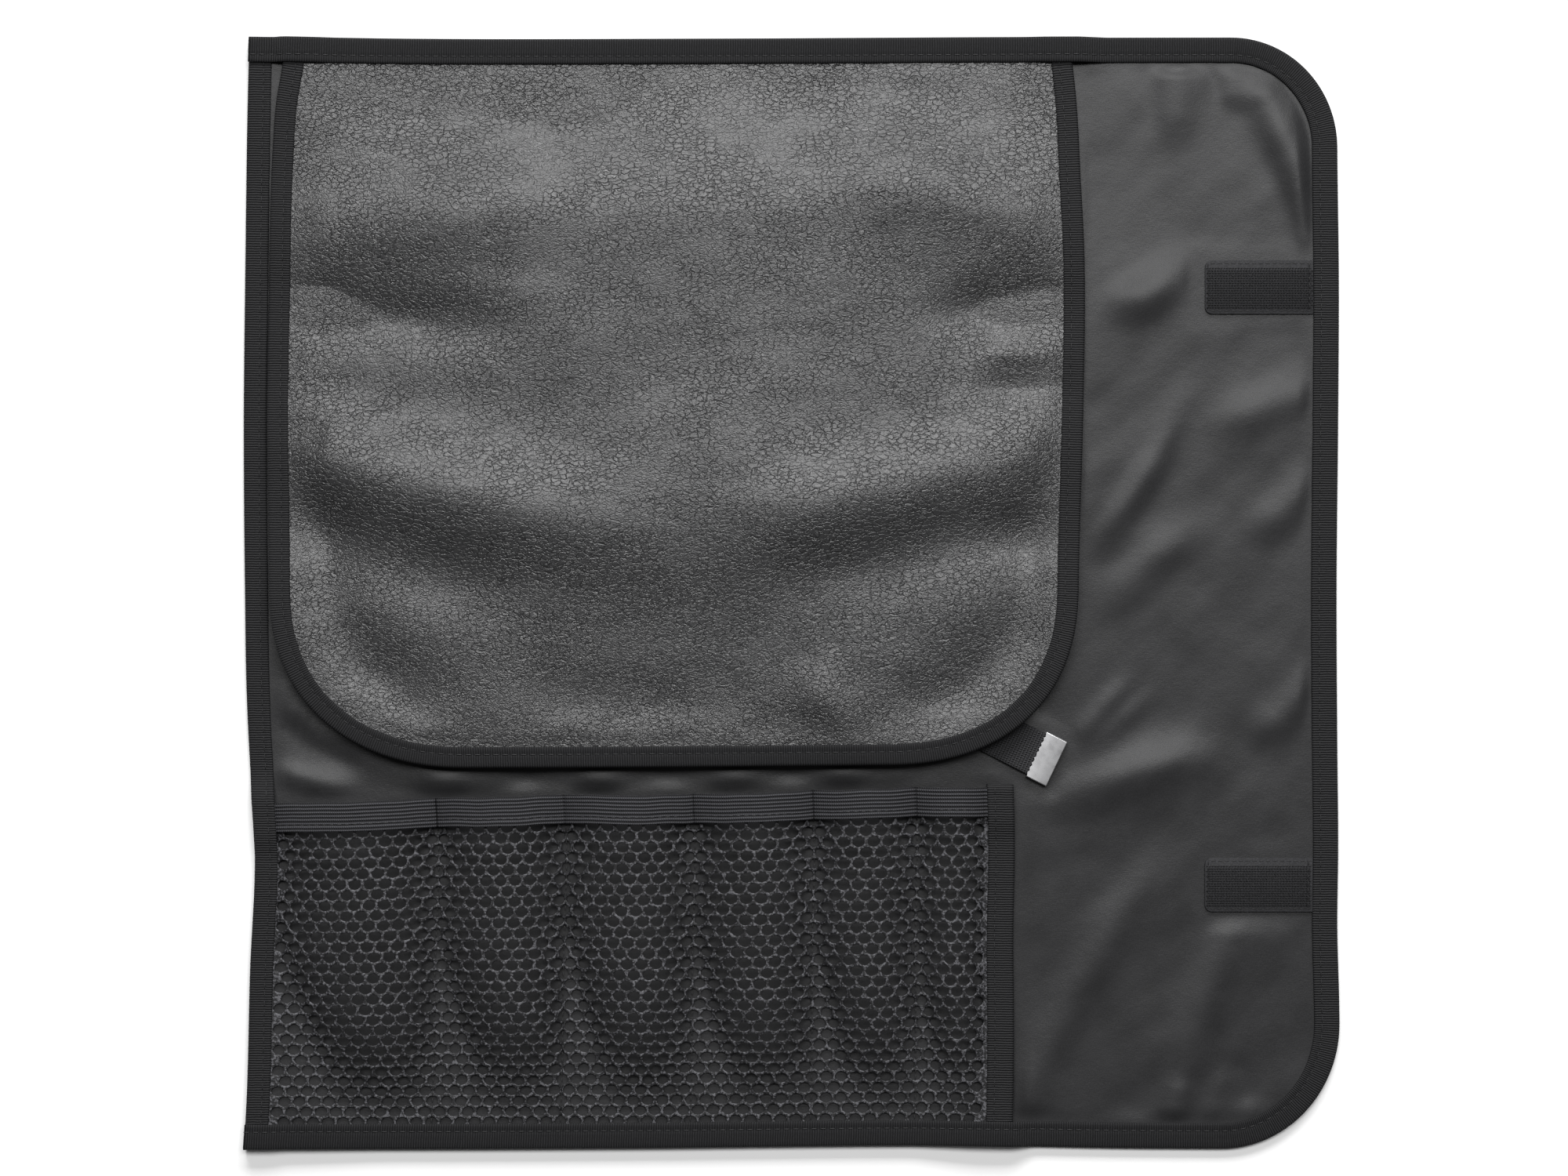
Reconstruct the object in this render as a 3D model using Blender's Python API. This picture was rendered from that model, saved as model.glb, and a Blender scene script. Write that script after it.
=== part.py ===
"""Chef knife roll, laid open on its back.

A woven panel with taped edges carries a wide vinyl flap sewn in at the top,
a row of six net pockets under an elastic band along the bottom, two short
hook patches at the right and one strap with a metal end.

X runs across the roll, Y from the pockets up to the flap, Z up from the
table. Every piece is drawn on the flat pattern and then passed through
laid(), which gives the outline the slight bow that it has on the table.
"""

import math

import bmesh
import bpy

# Sizes in metres.
ROLL_WIDTH = 0.480            # over the tapes
ROLL_LENGTH = 0.487
TOP_CORNER_ACROSS = 0.047     # round corners, right-hand side only
TOP_CORNER_DOWN = 0.048
LOW_CORNER_ACROSS = 0.0515
LOW_CORNER_UP = 0.055

PANEL_THICK = 0.0015          # the woven panel
TAPE_THICK = 0.0008           # one layer of ribbed tape
EDGE_TAPE_WIDTH = 0.0112      # folded tape, as seen from above
LEFT_TAPE_WIDTH = 0.0102
TAPE_FOLD_RADIUS = 0.0014
GAP = 0.0003                  # between pieces that touch
EDGE_EASE = 0.0008            # a sheet's edge to the inside of the tape's fold
LIFT_RUN = 0.060              # in which the panel settles from a double tape

FLAP_WIDTH = 0.3575
FLAP_TO_MOUTH = 0.0098        # flap's lower edge to the pockets' highest mouth
FLAP_THICK = 0.0012
FLAP_CORNER_ACROSS = 0.086
FLAP_CORNER_UP = 0.078
FLAP_CORNER_POWER = 2.25      # 2 is an ellipse, more is squarer
FLAP_TAPE_WIDTH = 0.0093
FLAP_CLEAR = 0.0005           # flap to the left-hand tape
FLAP_RISE = 0.0060            # how far the flap billows off the panel
FLAP_RISE_RUN = 0.062

POCKET_DEPTH = 0.1577         # from the bottom edge to the mouth, at its highest
NET_THICK = 0.0010
NET_ROWS = 7
NET_STRAND = 0.0044
NET_MARGIN = 0.0050           # plain net beside the tape and the elastic
ELASTIC_WIDTH = 0.0127
ELASTIC_THICK = 0.0012
ELASTIC_CLEAR = 0.0006        # to the net, which is steep beside the dividers
SIDE_TAPE_WIDTH = 0.0117
SIDE_TAPE_CLEAR = 0.0016      # last bulge to the side tape
SIDE_TAPE_ABOVE = 0.0015      # the side tape's end above the elastic

HOOK_WIDTH = 0.0236           # backing, across the tape
HOOK_LENGTH = 0.0473
HOOK_BACKING = 0.0008
HOOK_PILE = 0.0012
HOOK_SELVEDGE = 0.0030
HOOK_CORNER = 0.0016
HOOK_UPPER_DOWN = 0.1096      # roll's top edge to the middle of the patch
HOOK_LOWER_UP = 0.1157        # roll's bottom edge to the middle of the patch

STRAP_WIDTH = 0.0200
STRAP_THICK = 0.0016
STRAP_LENGTH = 0.125
STRAP_SETTLE = 0.020          # in which it comes down from its metal end
STRAP_ANGLE = math.radians(-26.6)
STRAP_IN = 0.0124             # tip's end to the flap's right-hand line
STRAP_UP = 0.0006             # tip's end to the flap's bottom line
TIP_LENGTH = 0.0098
TIP_WALL = 0.0006
TIP_SIDE = 0.0004             # metal past the webbing at each side

# How far each edge bows in: (share along the edge, share of the roll's width).
LEFT_BOW = [
    (0.00, 0.0006), (0.03, 0.0025), (0.16, 0.0061), (0.27, 0.0104), (0.34, 0.0061),
    (0.40, 0.0030), (0.51, 0.0010), (0.66, 0.0000), (0.79, 0.0014), (0.90, 0.0029),
    (1.00, 0.0054),
]
RIGHT_BOW = [
    (0.00, 0.0000), (0.13, 0.0000), (0.20, 0.0018), (0.27, 0.0010), (0.36, 0.0018),
    (0.50, 0.0025), (0.66, 0.0010), (0.78, 0.0004), (0.90, 0.0018), (1.00, 0.0020),
]
TOP_BOW = [(0.00, 0.0000), (0.14, 0.0020), (0.42, 0.0020), (0.70, 0.0005), (1.00, 0.0000)]
LOW_BOW = [(0.00, 0.0000), (0.20, 0.0000), (0.34, 0.0007), (0.67, 0.0030), (0.80, 0.0007),
           (1.00, 0.0000)]

# How far the flap's sides draw in: (share of its drop, share of its width).
FLAP_LEFT_DRAW = [(0.00, 0.0160), (0.04, 0.0125), (0.09, 0.0062), (0.16, 0.0029),
                  (0.33, 0.0006), (0.48, 0.0000), (0.65, 0.0020), (1.00, 0.0024)]
FLAP_RIGHT_DRAW = [(0.00, 0.0170), (0.04, 0.0140), (0.08, 0.0100), (0.12, 0.0072),
                   (0.19, 0.0044), (0.29, 0.0006), (0.49, 0.0006), (0.60, 0.0028),
                   (0.76, 0.0063), (1.00, 0.0063)]

# Pockets from the left: width, bulge at the mouth, the pleat's foot as a share
# of the width, and meshes of net across.
POCKETS = [
    (0.0713, 0.0115, 0.42, 3),
    (0.0566, 0.0105, 0.40, 3),
    (0.0569, 0.0105, 0.38, 3),
    (0.0528, 0.0105, 0.35, 2),
    (0.0456, 0.0098, 0.35, 2),
    (0.0298, 0.0074, 0.35, 2),
]
PLEAT_TOP = 0.70              # share of the net's height where the pleats end
BULGE_RUN = 0.42              # share of the net's height to the full bulge
# How far the mouth lies under its highest point: (share along the row, share
# of the pocket depth).
MOUTH_DIP = [(0.00, 0.039), (0.23, 0.021), (0.41, 0.013), (0.60, 0.013), (0.76, 0.006),
             (0.90, 0.000), (1.00, 0.000)]

# Folds as curves from start over middle to end. Places are shares of the
# piece's width and length from its lower left, spread and rise shares of its
# width.
FLAP_FOLDS = [
    # u0, v0, u1, v1, u2, v2, spread, rise
    (0.02, 0.45, 0.50, 0.26, 0.97, 0.455, 0.066, 0.0100),
    (0.02, 0.64, 0.34, 0.58, 0.64, 0.545, 0.040, -0.0066),
    (0.80, 0.62, 0.90, 0.625, 0.98, 0.635, 0.032, -0.0056),
    (0.69, 0.90, 0.85, 0.80, 0.97, 0.740, 0.045, 0.0084),
    (0.05, 0.35, 0.18, 0.23, 0.36, 0.200, 0.050, -0.0036),
    (0.06, 0.30, 0.06, 0.09, 0.27, 0.070, 0.030, -0.0070),
    (0.94, 0.26, 0.94, 0.08, 0.75, 0.065, 0.030, -0.0070),
    (0.49, 0.12, 0.59, 0.13, 0.69, 0.110, 0.040, 0.0050),
    (0.04, 0.72, 0.18, 0.79, 0.40, 0.800, 0.050, 0.0040),
    (0.45, 0.92, 0.53, 0.89, 0.62, 0.905, 0.035, -0.0030),
]
PANEL_FOLDS = [
    (0.925, 0.935, 0.955, 0.890, 0.975, 0.815, 0.018, 0.0070),
    (0.850, 0.970, 0.852, 0.930, 0.845, 0.900, 0.016, 0.0046),
    (0.905, 0.975, 0.905, 0.940, 0.900, 0.915, 0.012, 0.0034),
    (0.775, 0.765, 0.828, 0.720, 0.865, 0.820, 0.022, 0.0044),
    (0.770, 0.525, 0.810, 0.600, 0.870, 0.695, 0.018, 0.0040),
    (0.780, 0.400, 0.810, 0.440, 0.840, 0.470, 0.016, 0.0036),
    (0.780, 0.310, 0.835, 0.360, 0.975, 0.415, 0.026, 0.0056),
    (0.860, 0.530, 0.920, 0.570, 0.975, 0.620, 0.022, 0.0030),
    (0.720, 0.120, 0.770, 0.210, 0.860, 0.290, 0.024, 0.0044),
    (0.890, 0.145, 0.915, 0.100, 0.925, 0.055, 0.018, 0.0042),
]

LEFT = -ROLL_WIDTH / 2
RIGHT = ROLL_WIDTH / 2
TOP = ROLL_LENGTH / 2
BOTTOM = -ROLL_LENGTH / 2
EDGE_INSET = TAPE_THICK + EDGE_EASE
FLAP_LEFT = LEFT + LEFT_TAPE_WIDTH + FLAP_CLEAR
FLAP_RIGHT = FLAP_LEFT + FLAP_WIDTH
FLAP_LOW = BOTTOM + POCKET_DEPTH + FLAP_TO_MOUTH
FLAP_DROP = TOP - FLAP_LOW
POCKET_LEFT = LEFT + LEFT_TAPE_WIDTH
POCKET_RIGHT = POCKET_LEFT + sum(row[0] for row in POCKETS)
SIDE_TAPE_X = POCKET_RIGHT + SIDE_TAPE_CLEAR + SIDE_TAPE_WIDTH
HOOK_RIGHT = RIGHT - EDGE_TAPE_WIDTH - GAP
HOOK_UPPER_Y = TOP - HOOK_UPPER_DOWN
HOOK_LOWER_Y = BOTTOM + HOOK_LOWER_UP
STRAP_END_X = FLAP_RIGHT - STRAP_IN
STRAP_END_Y = FLAP_LOW + STRAP_UP

# Heights of what lies on the panel, over its upper face.
NET_LEVEL = GAP + NET_THICK
ELASTIC_LEVEL = NET_LEVEL + ELASTIC_CLEAR + ELASTIC_THICK
LEFT_TAPE_LEVEL = GAP + TAPE_THICK
FLAP_SEAT = GAP + TAPE_THICK + GAP            # the flap over its own tape
FLAP_LEVEL = FLAP_SEAT + FLAP_THICK
FLAP_TAPE_LEVEL = FLAP_LEVEL + GAP + TAPE_THICK
SIDE_SEAT = GAP + TAPE_THICK                  # lifts the net over the side tape


def smooth(t):
    t = min(1.0, max(0.0, t))
    return t * t * (3 - 2 * t)


def along(table, t):
    """Smooth curve through a table of (place, value) rows."""
    if t <= table[0][0]:
        return table[0][1]
    if t >= table[-1][0]:
        return table[-1][1]
    i = max(k for k in range(len(table) - 1) if table[k][0] <= t)
    before, a, b, after = (table[max(i - 1, 0)], table[i], table[i + 1],
                           table[min(i + 2, len(table) - 1)])
    span = b[0] - a[0]
    slope_a = (b[1] - before[1]) / (b[0] - before[0]) * span
    slope_b = (after[1] - a[1]) / (after[0] - a[0]) * span
    s = (t - a[0]) / span
    return ((2 * s**3 - 3 * s**2 + 1) * a[1] + (s**3 - 2 * s**2 + s) * slope_a
            + (3 * s**2 - 2 * s**3) * b[1] + (s**3 - s**2) * slope_b)


def level_at(table, t):
    """Straight lines through a table of (place, level) rows."""
    for (t0, a), (t1, b) in zip(table, table[1:]):
        if t <= t1:
            return a + (b - a) * max(0.0, (t - t0) / (t1 - t0))
    return table[-1][1]


def laid(x, y):
    """Pattern point to its place on the table."""
    u = (x - LEFT) / ROLL_WIDTH
    v = (y - BOTTOM) / ROLL_LENGTH
    shift_x = along(LEFT_BOW, v) * (1 - u) - along(RIGHT_BOW, v) * u
    shift_y = along(LOW_BOW, u) * (1 - v) - along(TOP_BOW, u) * v
    return x + shift_x * ROLL_WIDTH, y + shift_y * ROLL_WIDTH


def fold_height(table, u, v, width, length):
    """Sum of the folds in a table at one place of a piece."""
    total = 0.0
    for u0, v0, u1, v1, u2, v2, spread, rise in table:
        nearest = 1.0
        for k in range(9):
            t = k / 8
            cu = (1 - t)**2 * u0 + 2 * t * (1 - t) * u1 + t * t * u2
            cv = (1 - t)**2 * v0 + 2 * t * (1 - t) * v1 + t * t * v2
            nearest = min(nearest, math.hypot((u - cu) * width, (v - cv) * length))
        total += rise * width * math.exp(-(nearest / (spread * width))**2)
    return total


def panel_low(x, y):
    """Underside of the panel, lifted where two tapes lie under it."""
    near_left = 1 - smooth((x - LEFT - LEFT_TAPE_WIDTH) / LIFT_RUN)
    near_end = 1 - smooth((TOP - abs(y) - EDGE_TAPE_WIDTH) / LIFT_RUN)
    return (TAPE_THICK + GAP) * (1 + near_left * near_end)


def panel_top(x, y):
    return panel_low(x, y) + PANEL_THICK


def right_edge(y, inset):
    """Right-hand outline of the panel with its two round corners."""
    if y > TOP - TOP_CORNER_DOWN:
        across, up = TOP_CORNER_ACROSS - inset, TOP_CORNER_DOWN - inset
        share = (y - (TOP - TOP_CORNER_DOWN)) / up
    elif y < BOTTOM + LOW_CORNER_UP:
        across, up = LOW_CORNER_ACROSS - inset, LOW_CORNER_UP - inset
        share = (BOTTOM + LOW_CORNER_UP - y) / up
    else:
        return RIGHT - inset
    return RIGHT - inset - across * (1 - math.sqrt(max(0.0, 1 - share * share)))


def outside(x, y, left, right, low, high):
    """Distance of a point outside a rectangle."""
    return math.hypot(max(left - x, x - right, 0.0), max(low - y, y - high, 0.0))


def panel_relief(x, y):
    """Folds of the open right-hand part, flat under all that is sewn on."""
    edge = right_edge(y, 0.0) - x
    edge = min(edge, TOP - y, y - BOTTOM)
    quiet = smooth((edge - EDGE_TAPE_WIDTH - 0.010) / 0.014)
    flap_side = FLAP_RIGHT if y > FLAP_LOW + FLAP_CORNER_UP else FLAP_RIGHT - STRAP_IN
    quiet *= smooth((x - max(flap_side, SIDE_TAPE_X) - 0.008) / 0.016)
    for middle in (HOOK_UPPER_Y, HOOK_LOWER_Y):
        away = outside(x, y, HOOK_RIGHT - HOOK_LENGTH, HOOK_RIGHT,
                       middle - HOOK_WIDTH / 2, middle + HOOK_WIDTH / 2)
        quiet *= smooth((away - 0.014) / 0.014)
    away = math.hypot(x - STRAP_END_X, y - STRAP_END_Y)
    quiet *= smooth((away - STRAP_WIDTH) / 0.016)
    u = (x - LEFT) / ROLL_WIDTH
    v = (y - BOTTOM) / ROLL_LENGTH
    return quiet * fold_height(PANEL_FOLDS, u, v, ROLL_WIDTH, ROLL_LENGTH)


def flap_outline(inset, steps=40):
    """The flap's free edge from the top left, round the bottom, to the top
    right, moved inwards by an inset."""
    straight_low = FLAP_LOW + FLAP_CORNER_UP
    points = []
    for k in range(steps):
        y = TOP - (TOP - straight_low) * k / steps
        points.append((FLAP_LEFT, y))
    for k in range(steps + 1):
        a = math.pi / 2 * k / steps
        across = 1 - math.cos(a)**(2 / FLAP_CORNER_POWER)
        down = math.sin(a)**(2 / FLAP_CORNER_POWER)
        points.append((FLAP_LEFT + FLAP_CORNER_ACROSS * across,
                       straight_low - FLAP_CORNER_UP * down))
    points += [(FLAP_LEFT + FLAP_RIGHT - x, y) for x, y in reversed(points)]
    drawn = []
    for x, y in points:
        share = (TOP - y) / FLAP_DROP
        u = (x - FLAP_LEFT) / FLAP_WIDTH
        drawn.append((x + FLAP_WIDTH * (along(FLAP_LEFT_DRAW, share) * (1 - u)
                                        - along(FLAP_RIGHT_DRAW, share) * u), y))
    return [(x + nx * inset, y + ny * inset) for x, y, nx, ny in with_normals(drawn, 1)]


def with_normals(points, side):
    """Points of a path with unit normals, to the left of it for side 1."""
    result = []
    for i, (x, y) in enumerate(points):
        ax, ay = points[max(i - 1, 0)]
        bx, by = points[min(i + 1, len(points) - 1)]
        length = math.hypot(bx - ax, by - ay)
        result.append((x, y, -side * (by - ay) / length, side * (bx - ax) / length))
    return result


def flap_edge_distance(x, y):
    """How far inside the flap's free edge a point lies, nearly."""
    side = min(x - FLAP_LEFT, FLAP_RIGHT - x)
    up = y - FLAP_LOW
    if side < FLAP_CORNER_ACROSS and up < FLAP_CORNER_UP:
        reach = ((1 - side / FLAP_CORNER_ACROSS)**FLAP_CORNER_POWER
                 + (1 - max(up, 0.0) / FLAP_CORNER_UP)**FLAP_CORNER_POWER)
        return (1 - reach**(1 / FLAP_CORNER_POWER)) * FLAP_CORNER_UP
    return min(side, up)


def flap_low(x, y):
    """Underside of the flap without its folds: sewn down at the top, low at
    both sides, and standing off the panel in the middle and at the bottom."""
    u = (x - FLAP_LEFT) / FLAP_WIDTH
    share = (TOP - y) / FLAP_DROP
    rise = smooth((TOP - EDGE_TAPE_WIDTH - 0.006 - y) / FLAP_RISE_RUN)
    side = 0.12 + 0.88 * smooth((share - 0.45) / 0.38)
    middle = smooth(u / 0.3) * smooth((1 - u) / 0.3)
    return panel_top(x, y) + FLAP_SEAT + FLAP_RISE * rise * (side + (1 - side) * middle)


def flap_relief(x, y):
    free = min(flap_edge_distance(x, y) - FLAP_TAPE_WIDTH,
               TOP - EDGE_TAPE_WIDTH - y)
    u = (x - FLAP_LEFT) / FLAP_WIDTH
    v = (y - FLAP_LOW) / FLAP_DROP
    return smooth((free - 0.006) / 0.018) * fold_height(FLAP_FOLDS, u, v, FLAP_WIDTH,
                                                        FLAP_DROP)


def mouth_y(x):
    """Upper edge of the elastic band."""
    share = (x - POCKET_LEFT) / (POCKET_RIGHT - POCKET_LEFT)
    return BOTTOM + POCKET_DEPTH * (1 - along(MOUTH_DIP, share))


def net_low(x, y):
    """Underside of the net: down on the panel at each divider and pleat,
    standing off it in between, and lifted onto the side tape at the right."""
    foot = BOTTOM + EDGE_TAPE_WIDTH + NET_MARGIN / 2
    rim = mouth_y(x) - ELASTIC_WIDTH
    v = (y - foot) / (rim - foot)
    start = POCKET_LEFT
    bulge = 0.0
    for width, height, pleat, _ in POCKETS:
        share = (x - start) / width
        if 0 <= share <= 1:
            flat = pleat * max(0.0, 1 - v / PLEAT_TOP)
            t = (share - flat) / (1 - flat)
            if t > 0:
                bulge = height * math.sin(math.pi * min(1.0, t))**0.8 * smooth(v / BULGE_RUN)
        start += width
    last = POCKETS[-1][0]
    seat = SIDE_SEAT * smooth((x - POCKET_RIGHT + last) / (last * 0.9))
    return panel_top(x, y) + GAP + seat + bulge


def new_object(name, bm, colour, roughness, metallic=0.0):
    """Turns a bmesh into a named object with its own material."""
    mesh = bpy.data.meshes.new(name)
    bm.to_mesh(mesh)
    bm.free()
    obj = bpy.data.objects.new(name, mesh)
    bpy.context.scene.collection.objects.link(obj)
    material = bpy.data.materials.new(name)
    material.use_nodes = True
    shader = material.node_tree.nodes["Principled BSDF"]
    shader.inputs["Base Color"].default_value = (*colour, 1.0)
    shader.inputs["Roughness"].default_value = roughness
    shader.inputs["Metallic"].default_value = metallic
    mesh.materials.append(material)
    return obj


def solid(name, bm, colour, roughness, metallic=0.0):
    """A closed piece, smooth but for its sharp edges."""
    bmesh.ops.recalc_face_normals(bm, faces=bm.faces[:])
    obj = new_object(name, bm, colour, roughness, metallic)
    obj.data.shade_smooth()
    obj.data.set_sharp_from_angle(angle=math.radians(40))
    return obj


def grid(columns, rows):
    """Grid of unit cells; returns it with its vertices by column and row."""
    bm = bmesh.new()
    bmesh.ops.create_grid(bm, x_segments=columns, y_segments=rows, size=0.5)
    table = {(round((v.co.x + 0.5) * columns), round((v.co.y + 0.5) * rows)): v
             for v in bm.verts}
    return bm, table


def sheet(name, bm, thick, colour, roughness):
    """Gives a surface its thickness, upwards from the surface drawn."""
    for face in bm.faces:
        face.normal_update()
        if face.normal.z < 0:
            face.normal_flip()
    obj = new_object(name, bm, colour, roughness)
    obj.data.shade_smooth()
    wall = obj.modifiers.new("Thickness", "SOLIDIFY")
    wall.thickness = thick
    wall.offset = 1.0
    return obj


def folded_tape(name, stations, width, floor, roof, colour):
    """Tape folded over an edge. A station is (x, y, inward x, inward y,
    level); floor and roof give the heights of its two outer faces."""
    r = min(TAPE_FOLD_RADIUS, width / 3)
    c = r * (1 - math.cos(math.pi / 4))
    t = TAPE_THICK
    # distance in from the fold, upper face or lower face, height from it
    section = [
        (width, 0, 0), (r, 0, 0), (c, 0, c), (0, 0, r),
        (0, 1, -r), (c, 1, -c), (r, 1, 0), (width, 1, 0),
        (width, 1, -t), (t, 1, -t), (t, 0, t), (width, 0, t),
    ]
    bm = bmesh.new()
    rings = []
    for x, y, nx, ny, level in stations:
        ring = []
        for inward, upper, rise in section:
            px, py = x + nx * inward, y + ny * inward
            z = (roof(px, py, level) if upper else floor(px, py)) + rise
            ring.append(bm.verts.new((*laid(px, py), z)))
        rings.append(ring)
    count = len(section)
    for first, second in zip(rings, rings[1:]):
        for k in range(count):
            j = (k + 1) % count
            bm.faces.new((first[k], first[j], second[j], second[k]))
    bm.faces.new(rings[0])
    bm.faces.new(reversed(rings[-1]))
    return solid(name, bm, colour, 0.85)


def between(start, end, longest):
    """Places from start up to but not including end."""
    count = max(1, math.ceil(abs(end - start) / longest))
    return [start + (end - start) * k / count for k in range(count)]


def spaced(marks, longest):
    """Places through all marks, no further apart than longest."""
    places = []
    for a, b in zip(marks, marks[1:]):
        places += between(a, b, longest)
    return places + [marks[-1]]


def lift_marks(start, inward):
    """Places at which the panel settles from a double tape at one end."""
    return [start + inward * LIFT_RUN * k / 4 for k in range(5)]


def levels_through(table, places, longest):
    """Places through a table's marks and some more, with their levels."""
    marks = sorted({mark for mark, _ in table} | set(places))
    return [(place, level_at(table, place)) for place in spaced(marks, longest)]


def make_panel():
    open_left = LEFT + 0.72 * ROLL_WIDTH
    columns = [LEFT + EDGE_INSET] + lift_marks(LEFT + LEFT_TAPE_WIDTH, 1)
    columns = spaced([*columns, open_left], 0.050)
    columns += spaced([open_left, RIGHT - EDGE_INSET], 0.0134)[1:]
    low_round = [BOTTOM + LOW_CORNER_UP - (LOW_CORNER_UP - EDGE_INSET) * math.sin(a)
                 for a in [math.pi / 2 * k / 6 for k in range(6, 0, -1)]]
    top_round = [TOP - TOP_CORNER_DOWN + (TOP_CORNER_DOWN - EDGE_INSET) * math.sin(a)
                 for a in [math.pi / 2 * k / 6 for k in range(1, 7)]]
    rows = low_round + spaced([BOTTOM + LOW_CORNER_UP, TOP - TOP_CORNER_DOWN], 0.0276)
    rows += top_round
    bm, table = grid(len(columns) - 1, len(rows) - 1)
    for (i, j), vert in table.items():
        x, y = columns[i], rows[j]
        if x > open_left:
            squeeze = (right_edge(y, EDGE_INSET) - open_left) / (columns[-1] - open_left)
            x = open_left + (x - open_left) * squeeze
        vert.co = (*laid(x, y), panel_low(x, y) + panel_relief(x, y))
    return sheet("base_panel", bm, PANEL_THICK, (0.050, 0.050, 0.053), 0.7)


def make_edge_binding():
    top_levels = [
        (LEFT, LEFT_TAPE_LEVEL), (LEFT + LEFT_TAPE_WIDTH + 0.001, LEFT_TAPE_LEVEL),
        (FLAP_LEFT + 0.004, FLAP_TAPE_LEVEL),
        (FLAP_LEFT + FLAP_TAPE_WIDTH + 0.008, FLAP_TAPE_LEVEL),
        (FLAP_LEFT + FLAP_TAPE_WIDTH + 0.018, FLAP_LEVEL),
        (FLAP_RIGHT - FLAP_TAPE_WIDTH - 0.018, FLAP_LEVEL),
        (FLAP_RIGHT - FLAP_TAPE_WIDTH - 0.008, FLAP_TAPE_LEVEL),
        (FLAP_RIGHT - 0.002, FLAP_TAPE_LEVEL), (FLAP_RIGHT + 0.010, 0.0),
        (RIGHT - TOP_CORNER_ACROSS, 0.0),
    ]
    side_level = SIDE_SEAT + NET_LEVEL + GAP + TAPE_THICK
    over_tape = NET_LEVEL + GAP + TAPE_THICK
    tape_left = POCKET_RIGHT - 0.001
    tape_right = SIDE_TAPE_X
    low_levels = [
        (LEFT, over_tape), (LEFT + LEFT_TAPE_WIDTH + 0.001, over_tape),
        (LEFT + LEFT_TAPE_WIDTH + 0.008, NET_LEVEL),
        (POCKET_RIGHT - POCKETS[-1][0], NET_LEVEL), (tape_left - 0.002, side_level),
        (tape_right + 0.001, side_level), (tape_right + 0.009, 0.0),
        (RIGHT - LOW_CORNER_ACROSS, 0.0),
    ]
    path, levels = [], []
    settling = lift_marks(LEFT + LEFT_TAPE_WIDTH, 1)
    for x, level in levels_through(top_levels, settling, 0.032):
        path.append((x, TOP))
        levels.append(level)
    for k in range(1, 8):
        a = math.pi / 2 * k / 7
        path.append((RIGHT - TOP_CORNER_ACROSS * (1 - math.sin(a)),
                     TOP - TOP_CORNER_DOWN * (1 - math.cos(a))))
        levels.append(0.0)
    for y in spaced([TOP - TOP_CORNER_DOWN, BOTTOM + LOW_CORNER_UP], 0.040)[1:]:
        path.append((RIGHT, y))
        levels.append(0.0)
    for k in range(1, 8):
        a = math.pi / 2 * k / 7
        path.append((RIGHT - LOW_CORNER_ACROSS * (1 - math.cos(a)),
                     BOTTOM + LOW_CORNER_UP * (1 - math.sin(a))))
        levels.append(0.0)
    for x, level in reversed(levels_through(low_levels, settling, 0.032)[:-1]):
        path.append((x, BOTTOM))
        levels.append(level)
    stations = [(*place, level) for place, level in zip(with_normals(path, -1), levels)]
    return folded_tape("edge_binding", stations, EDGE_TAPE_WIDTH, lambda x, y: 0.0,
                       lambda x, y, level: panel_top(x, y) + level + GAP + TAPE_THICK,
                       (0.018, 0.018, 0.020))


def make_left_binding():
    mouth = mouth_y(POCKET_LEFT)
    inset = EDGE_INSET + GAP
    marks = [
        (BOTTOM + inset, NET_LEVEL), (mouth - ELASTIC_WIDTH - 0.010, NET_LEVEL),
        (mouth - ELASTIC_WIDTH - 0.002, ELASTIC_LEVEL), (mouth + 0.002, ELASTIC_LEVEL),
        (mouth + 0.012, 0.0), (TOP - inset, 0.0),
    ]
    settling = (lift_marks(BOTTOM + EDGE_TAPE_WIDTH, 1) + lift_marks(TOP - EDGE_TAPE_WIDTH, -1))
    stations = [(LEFT, y, 1.0, 0.0, level)
                for y, level in levels_through(marks, settling, 0.030)]
    return folded_tape("left_binding", stations, LEFT_TAPE_WIDTH,
                       lambda x, y: panel_low(x, y) - GAP - TAPE_THICK,
                       lambda x, y, level: panel_top(x, y) + level + GAP + TAPE_THICK,
                       (0.018, 0.018, 0.020))


def thinned(outline, longest):
    """Thins an outline to points about as far apart as asked."""
    kept = [outline[0]]
    for point in outline[1:-1]:
        if math.dist(point, kept[-1]) >= longest:
            kept.append(point)
    if math.dist(kept[-1], outline[-1]) < longest / 2:
        kept.pop()
    return kept + [outline[-1]]


def make_flap():
    outline = flap_outline(EDGE_INSET, 60)
    half = len(outline) // 2
    left = [(-y, x) for x, y in outline[:half]]
    right = [(-y, x) for x, y in reversed(outline[half:])]
    low = min(-left[-1][0], -right[-1][0])
    corner_top = FLAP_LOW + FLAP_CORNER_UP
    corner = [low + (corner_top - low) * (1 - math.sin(math.pi / 2 * k / 7))
              for k in range(7, 0, -1)]
    rows = corner + spaced([corner_top, TOP - EDGE_INSET], 0.0172)
    columns = spaced([0.0, 1.0], 1 / 21)
    bm, table = grid(len(columns) - 1, len(rows) - 1)
    for (i, j), vert in table.items():
        y = rows[j]
        x0, x1 = level_at(left, -y), level_at(right, -y)
        x = x0 + (x1 - x0) * columns[i]
        vert.co = (*laid(x, y), flap_low(x, y) + flap_relief(x, y))
    return sheet("flap", bm, FLAP_THICK, (0.160, 0.160, 0.168), 0.45)


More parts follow.
